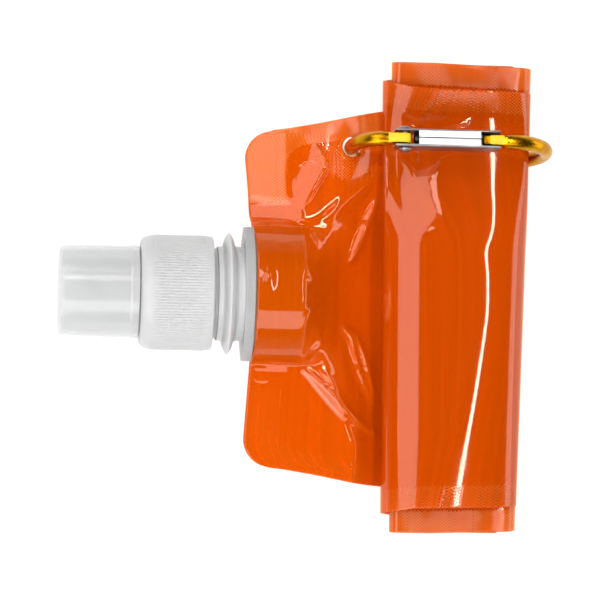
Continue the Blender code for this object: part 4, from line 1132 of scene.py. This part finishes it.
def ring_line():
    """The rod's middle line and section: x, y, half width across the ring, half thickness, squareness."""
    line = []
    left_x = 18.25 * MM
    left_reach = left_x - RING_LOW.x - ROD_R
    right_x = 48.75 * MM
    right_reach = RING_HIGH.x - ROD_R - right_x
    steps = 48
    rod = (ROD_R, ROD_R, 0.0)
    tab = (1.75 * MM, 1.3 * MM, 1.0)
    tab_end_r = 1.8 * MM
    for i in range(10):
        angle = TURN / 4 * i / 9
        half_across = max(0.25 * MM, tab_end_r * math.sin(angle))
        line.append((PIVOT_X + tab_end_r * math.cos(angle), BAR_OFFSET, half_across, *tab[1:]))
    line.append((19.7 * MM, BAR_OFFSET, *tab))
    line.append((19.3 * MM, BAR_OFFSET, tab_end_r, 1.5 * MM, 0.6))
    line.append((18.9 * MM, BAR_OFFSET, *rod))
    for i in range(steps + 1):
        angle = math.pi * i / steps
        line.append((left_x - left_reach * math.sin(angle), BAR_OFFSET * math.cos(angle), *rod))
    for i in range(1, 12):
        line.append((left_x + (right_x - left_x) * i / 12, -BAR_OFFSET, *rod))
    for i in range(steps + 1):
        angle = math.pi * i / steps
        line.append((right_x + right_reach * math.sin(angle), -BAR_OFFSET * math.cos(angle), *rod))
    for x, shift, half_across, half_thick, square in NOSE:
        line.append((x * MM, BAR_OFFSET + shift * MM, half_across * MM, half_thick * MM, square))
    return line


def make_carabiner(material, flats_highlight):
    """The bent rod with its flattened hinge tab and nose, swept as rings along the rod's line."""
    line = ring_line()
    sides = 32
    verts = []
    for i, (x, y, half_across, half_thick, square) in enumerate(line):
        before = line[max(0, i - 1)]
        after = line[min(len(line) - 1, i + 1)]
        run = Vector((after[0] - before[0], after[1] - before[1])).normalized()
        across = Vector((-run.y, run.x))
        power = 1.0 - 0.72 * square
        for k in range(sides):
            angle = TURN * k / sides
            c = math.cos(angle)
            s = math.sin(angle)
            u = math.copysign(abs(c) ** power, c) * half_across
            w = math.copysign(abs(s) ** power, s) * half_thick
            verts.append((x + across.x * u, y + across.y * u, w))
    faces = []
    for i in range(len(line) - 1):
        for k in range(sides):
            a = i * sides + k
            b = i * sides + (k + 1) % sides
            faces.append((a, b, b + sides, a + sides))
    faces.append(tuple(reversed(range(sides))))
    faces.append(tuple(range(len(verts) - sides, len(verts))))
    mesh = bpy.data.meshes.new("carabiner_rod")
    mesh.from_pydata(verts, [], faces)
    rod = solid(new_object("carabiner_rod", mesh))
    rod = combine(rod, pivot_hole(3 * MM), "DIFFERENCE")
    shaded(rod, material, 40.0)

    def on_flat(centre, normal):
        on_tab = 18.9 * MM < centre.x < 24.9 * MM or 44.5 * MM < centre.x < 48.3 * MM
        return on_tab and centre.y > 8.0 * MM and normal.y > 0.6

    # The tabs' up-facing flats take the bright yellow: a painted highlight.
    second_material(rod, flats_highlight, on_flat)
    return lay(rod, RING_MATRIX)


def make_gate(material, bends):
    """Folded steel channel with rounded bends, its seam and hinge holes."""
    half = 2.3 * MM
    inside = half - 0.55 * MM
    low, high, left, right = in_mm(8.0, 12.6, 20.5, 47.1)
    gate = block("steel_gate", (left, low, -half), (right, high, half))
    long_edges = gate.modifiers.new("bends", "BEVEL")
    long_edges.width = 0.55 * MM
    long_edges.segments = 4
    gate = solid(gate)
    # inside, hinge end, nose end, seam and slot for the tab: low and high x, low and high y, half height
    cuts = (
        (left - 2 * MM, right + 2 * MM, low + 0.6 * MM, high - 0.6 * MM, inside),
        (left - 2 * MM, 26.5 * MM, low + 2 * MM, high + 2 * MM, inside),
        (42.0 * MM, right + 2 * MM, low + 2 * MM, high + 2 * MM, inside),
        (25.0 * MM, 43.0 * MM, high - 2 * MM, high + 2 * MM, 0.13 * MM),
        (left - 2 * MM, 25.6 * MM, low - 2 * MM, low + 2.5 * MM, inside),
    )
    for low_x, high_x, low_y, high_y, half_z in cuts:
        cut = block("cut", (low_x, low_y, -half_z), (high_x, high_y, half_z))
        gate = combine(gate, cut, "DIFFERENCE")
    gate = combine(gate, pivot_hole(6 * MM), "DIFFERENCE")
    gate = softened(gate, 0.09 * MM, 2, 40.0)
    shaded(gate, material, 35.0)

    def on_bend(centre, normal):
        return abs(centre.z) > inside - 0.15 * MM or centre.y < high - MM

    # The bends and the channel's lower faces take the darker steel: painted shade.
    second_material(gate, bends, on_bend)
    return lay(gate, RING_MATRIX)


def make_rivet(material):
    """Rivet with two domed heads."""
    half = 2.55 * MM
    shaft = 1.0 * MM
    head = arc((0.0, half), 1.6 * MM, 90.0, 0.0, 8)
    head = [(r, half + (z - half) * 0.55) for r, z in head]
    profile = head + [(shaft, half), (shaft, -half)] + [(r, -z) for r, z in reversed(head)]
    rivet = turned("domed_rivet", profile, steps=40)
    lay(rivet, PIVOT_MATRIX)
    return placed(rivet, RING_MATRIX, material, 40.0)


def make_spring(material):
    """Coil spring inside the gate."""
    turns = 13
    per_turn = 20
    curve = bpy.data.curves.new("closing_spring", "CURVE")
    curve.dimensions = "3D"
    curve.bevel_depth = 0.18 * MM
    curve.bevel_resolution = 2
    curve.use_fill_caps = True
    spline = curve.splines.new("POLY")
    spline.points.add(turns * per_turn)
    for i, point in enumerate(spline.points):
        angle = TURN * i / per_turn
        x = (27.45 + 13.2 * i / (turns * per_turn)) * MM
        y = BAR_OFFSET + 0.95 * MM * math.cos(angle)
        point.co = (x, y, 0.95 * MM * math.sin(angle), 1.0)
    spring = solid(new_object("closing_spring", curve))
    return placed(spring, RING_MATRIX, material, 60.0)


def make_plunger(material):
    """Pin between the spring and the hinge tab."""
    start = 25.35 * MM
    profile = [(0.0, start + 6.5 * MM), (0.5 * MM, start + 6.5 * MM), (0.5 * MM, start + 1.5 * MM)]
    profile += [(1.2 * MM, start + 1.5 * MM), (1.2 * MM, start + 0.3 * MM), (0.8 * MM, start), (0.0, start)]
    plunger = turned("plunger_pin", profile, steps=32)
    plunger.data.transform(Matrix.Translation((0.0, BAR_OFFSET, 0.0)) @ Matrix.Rotation(TURN / 4, 4, "Y"))
    return placed(plunger, RING_MATRIX, material, 40.0)


# ---- stage


def make_floor():
    """A plain pale floor."""
    material, _, shader = node_material("pale_floor")
    set_inputs(shader, Base_Color=(0.30, 0.30, 0.30, 1.0), Roughness=0.9, Specular_IOR_Level=0.0)
    set_inputs(shader, Emission_Color=(1.0, 1.0, 1.0, 1.0), Emission_Strength=0.84)
    bpy.ops.mesh.primitive_plane_add(size=6.0, location=(0.0, 0.0, -0.2 * MM))
    floor = bpy.context.object
    floor.name = "floor"
    floor.data.materials.append(material)


# Softboxes one metre from their targets: name, direction from +X towards +Y and elevation in degrees, size
# along the horizon and up, power, and target
MIDDLE = (0.02, 0.0, 0.012)
LIGHTS = (
    ("left_softbox", 180.0, 60.5, (1.9, 0.48), 7.2, MIDDLE),
    ("left_low_softbox", 180.0, 7.0, (1.2, 0.18), 0.7, MIDDLE),
    ("left_far_softbox", 118.0, 32.0, (0.7, 0.36), 1.9, MIDDLE),
    ("left_near_softbox", 240.0, 28.0, (0.7, 0.40), 2.1, MIDDLE),
    ("right_softbox", 0.0, 9.0, (1.2, 0.30), 2.6, MIDDLE),
    ("near_softbox", -90.0, 52.0, (1.0, 0.5), 4.0, MIDDLE),
    ("cap_softbox", 90.0, 56.0, (0.17, 0.22), 0.62, (-0.115, 0.0, 0.012)),
    ("strip", 0.0, 72.0, (1.0, 0.06), 4.3, (0.02, 0.32, 0.012)),
)


def add_light(name, direction, elevation, size, power, target):
    """One softbox of the LIGHTS table."""
    data = bpy.data.lights.new(name, "AREA")
    data.shape = "RECTANGLE"
    data.size, data.size_y = size
    data.energy = power
    lamp = new_object(name, data)
    turn = math.radians(direction)
    rise = math.radians(elevation)
    back = Vector((math.cos(turn) * math.cos(rise), math.sin(turn) * math.cos(rise), math.sin(rise)))
    lamp.location = Vector(target) + back
    right = Vector((-math.sin(turn), math.cos(turn), 0.0))
    up = back.cross(right)
    lamp.rotation_euler = Matrix((right, up, back)).transposed().to_euler()


def make_lights():
    """Softboxes on all four sides, a bright strip overhead and a world that is dark at its zenith."""
    for light in LIGHTS:
        add_light(*light)
    world = bpy.data.worlds.new("studio")
    bpy.context.scene.world = world
    world.use_nodes = True
    tree = world.node_tree
    sky = tree.nodes["Background"]
    where = add_node(tree, "TexCoord").outputs["Generated"]
    split = add_node(tree, "SeparateXYZ")
    tree.links.new(where, split.inputs[0])
    level = ranged(tree, split.outputs["Z"], 0.05, 0.45, 0.55, 0.0)
    tree.links.new(level, sky.inputs["Strength"])
    set_inputs(sky, Color=(1.0, 1.0, 1.0, 1.0))


def make_camera():
    """A long lens from above, leaning a little towards the spout."""
    data = bpy.data.cameras.new("camera")
    data.sensor_width = 36.0
    data.lens = 192.0
    data.clip_end = 10.0
    camera = new_object("camera", data)
    lean = math.radians(5.5)
    roll = math.radians(1.2)
    back = Vector((-math.sin(lean), 0.0, math.cos(lean)))
    right = Vector((math.cos(lean), 0.0, math.sin(lean)))
    right = (Matrix.Rotation(roll, 3, back) @ right).normalized()
    up = back.cross(right)
    target = Vector((-1.5 * MM, -1.2 * MM, 15.0 * MM))
    camera.location = target + back * 0.8
    camera.rotation_euler = Matrix((right, up, back)).transposed().to_euler()
    bpy.context.scene.camera = camera


# ---- the bottle


def make_bottle():
    """Every visible piece, with its body and the frame's nodes that it stands for."""
    orange = (0.90, 0.140, 0.001)
    film = film_material("orange_laminate", orange, (0.982, 0.66, 0.04), (1.0, 0.42, 0.09), 0.60)
    frosted = plastic_material("frosted_polyethylene", grey(0.59), 0.38, 0.004 * MM, 0.25)
    # The base plate gets a darker copy of the frosted plastic: painted shade, as it is the same moulding as
    # the neck.
    base_painted_shade = plastic_material("frosted_base_painted_shade", grey(0.41), 0.38, 0.004 * MM, 0.25)
    cap_plastic = plastic_material("cap_polypropylene", grey(0.60), 0.34, 0.002 * MM, 0.25)
    clear = plastic_material("clear_polypropylene", grey(0.76), 0.16, 0.002 * MM, 0.0, 0.42)
    soft_white = plastic_material("nozzle_polyethylene", grey(0.60), 0.4, 0.004 * MM, 0.2)
    gold = metal_material("yellow_anodised", (0.64, 0.30, 0.005), (0.48, 0.20, 0.003), 0.28, EVEN, 0.002 * MM)
    # Bright matt yellow for the up-facing flats of the carabiner's tabs: a painted highlight.
    yellow = plastic_material("yellow_flats_painted_highlight", (1.0, 0.66, 0.004), 0.42, 0.02 * MM)
    steel = metal_material("gate_steel", grey(0.90), grey(0.84), 0.5, ACROSS_GATE, 0.001 * MM, 0.45)
    # Darker steel for the rivet and for the gate; on the gate's bends and lower faces it is painted shade.
    dark_steel_and_bend_shade = metal_material("steel_painted_shade_on_bends", (0.40, 0.38, 0.38), (0.30, 0.28, 0.28), 0.34, ACROSS_GATE, 0.002 * MM)
    dark = metal_material("spring_steel", grey(0.10), grey(0.05), 0.4, EVEN, 0.002 * MM)

    front, back = make_films(film)
    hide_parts("front_film_neck", "front_film_roll")
    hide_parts("back_film_neck", "back_film_roll")
    for sheet in (front, back):
        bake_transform(sheet)

    pieces = (
        (make_gusset(film), "pouch_roll", "gusset_film", "gusset_orange"),
        (make_fitment(frosted, base_painted_shade), "neck", "spout_fitment", "frosted_plastic"),
        (make_liner(soft_white), "liner", "cap_liner", "nozzle_plastic"),
        (make_nozzle(soft_white), "nozzle", "drinking_nozzle", "nozzle_plastic"),
        (make_dust_cap(clear), "dust_cover", "dust_cap", "clear_plastic"),
        (make_carabiner(gold, yellow), "carabiner", "carabiner_body", "anodised_yellow"),
        (make_rivet(dark_steel_and_bend_shade), "carabiner", "gate_rivet", "steel"),
        (make_gate(steel, dark_steel_and_bend_shade), "gate", "carabiner_gate", "steel"),
        (make_spring(dark), "gate", "gate_spring", "steel"),
        (make_plunger(dark), "gate", "spring_plunger", "steel"),
    )
    for piece, body, node, slot in pieces:
        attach(piece, body)
        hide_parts(node)
    for piece in make_cap(cap_plastic):
        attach(piece, "cap")
        if piece.name == "ribbed_cap":
            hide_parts("screw_cap")


bpy.context.scene.view_settings.view_transform = "Standard"
make_bottle()
make_floor()
make_lights()
make_camera()
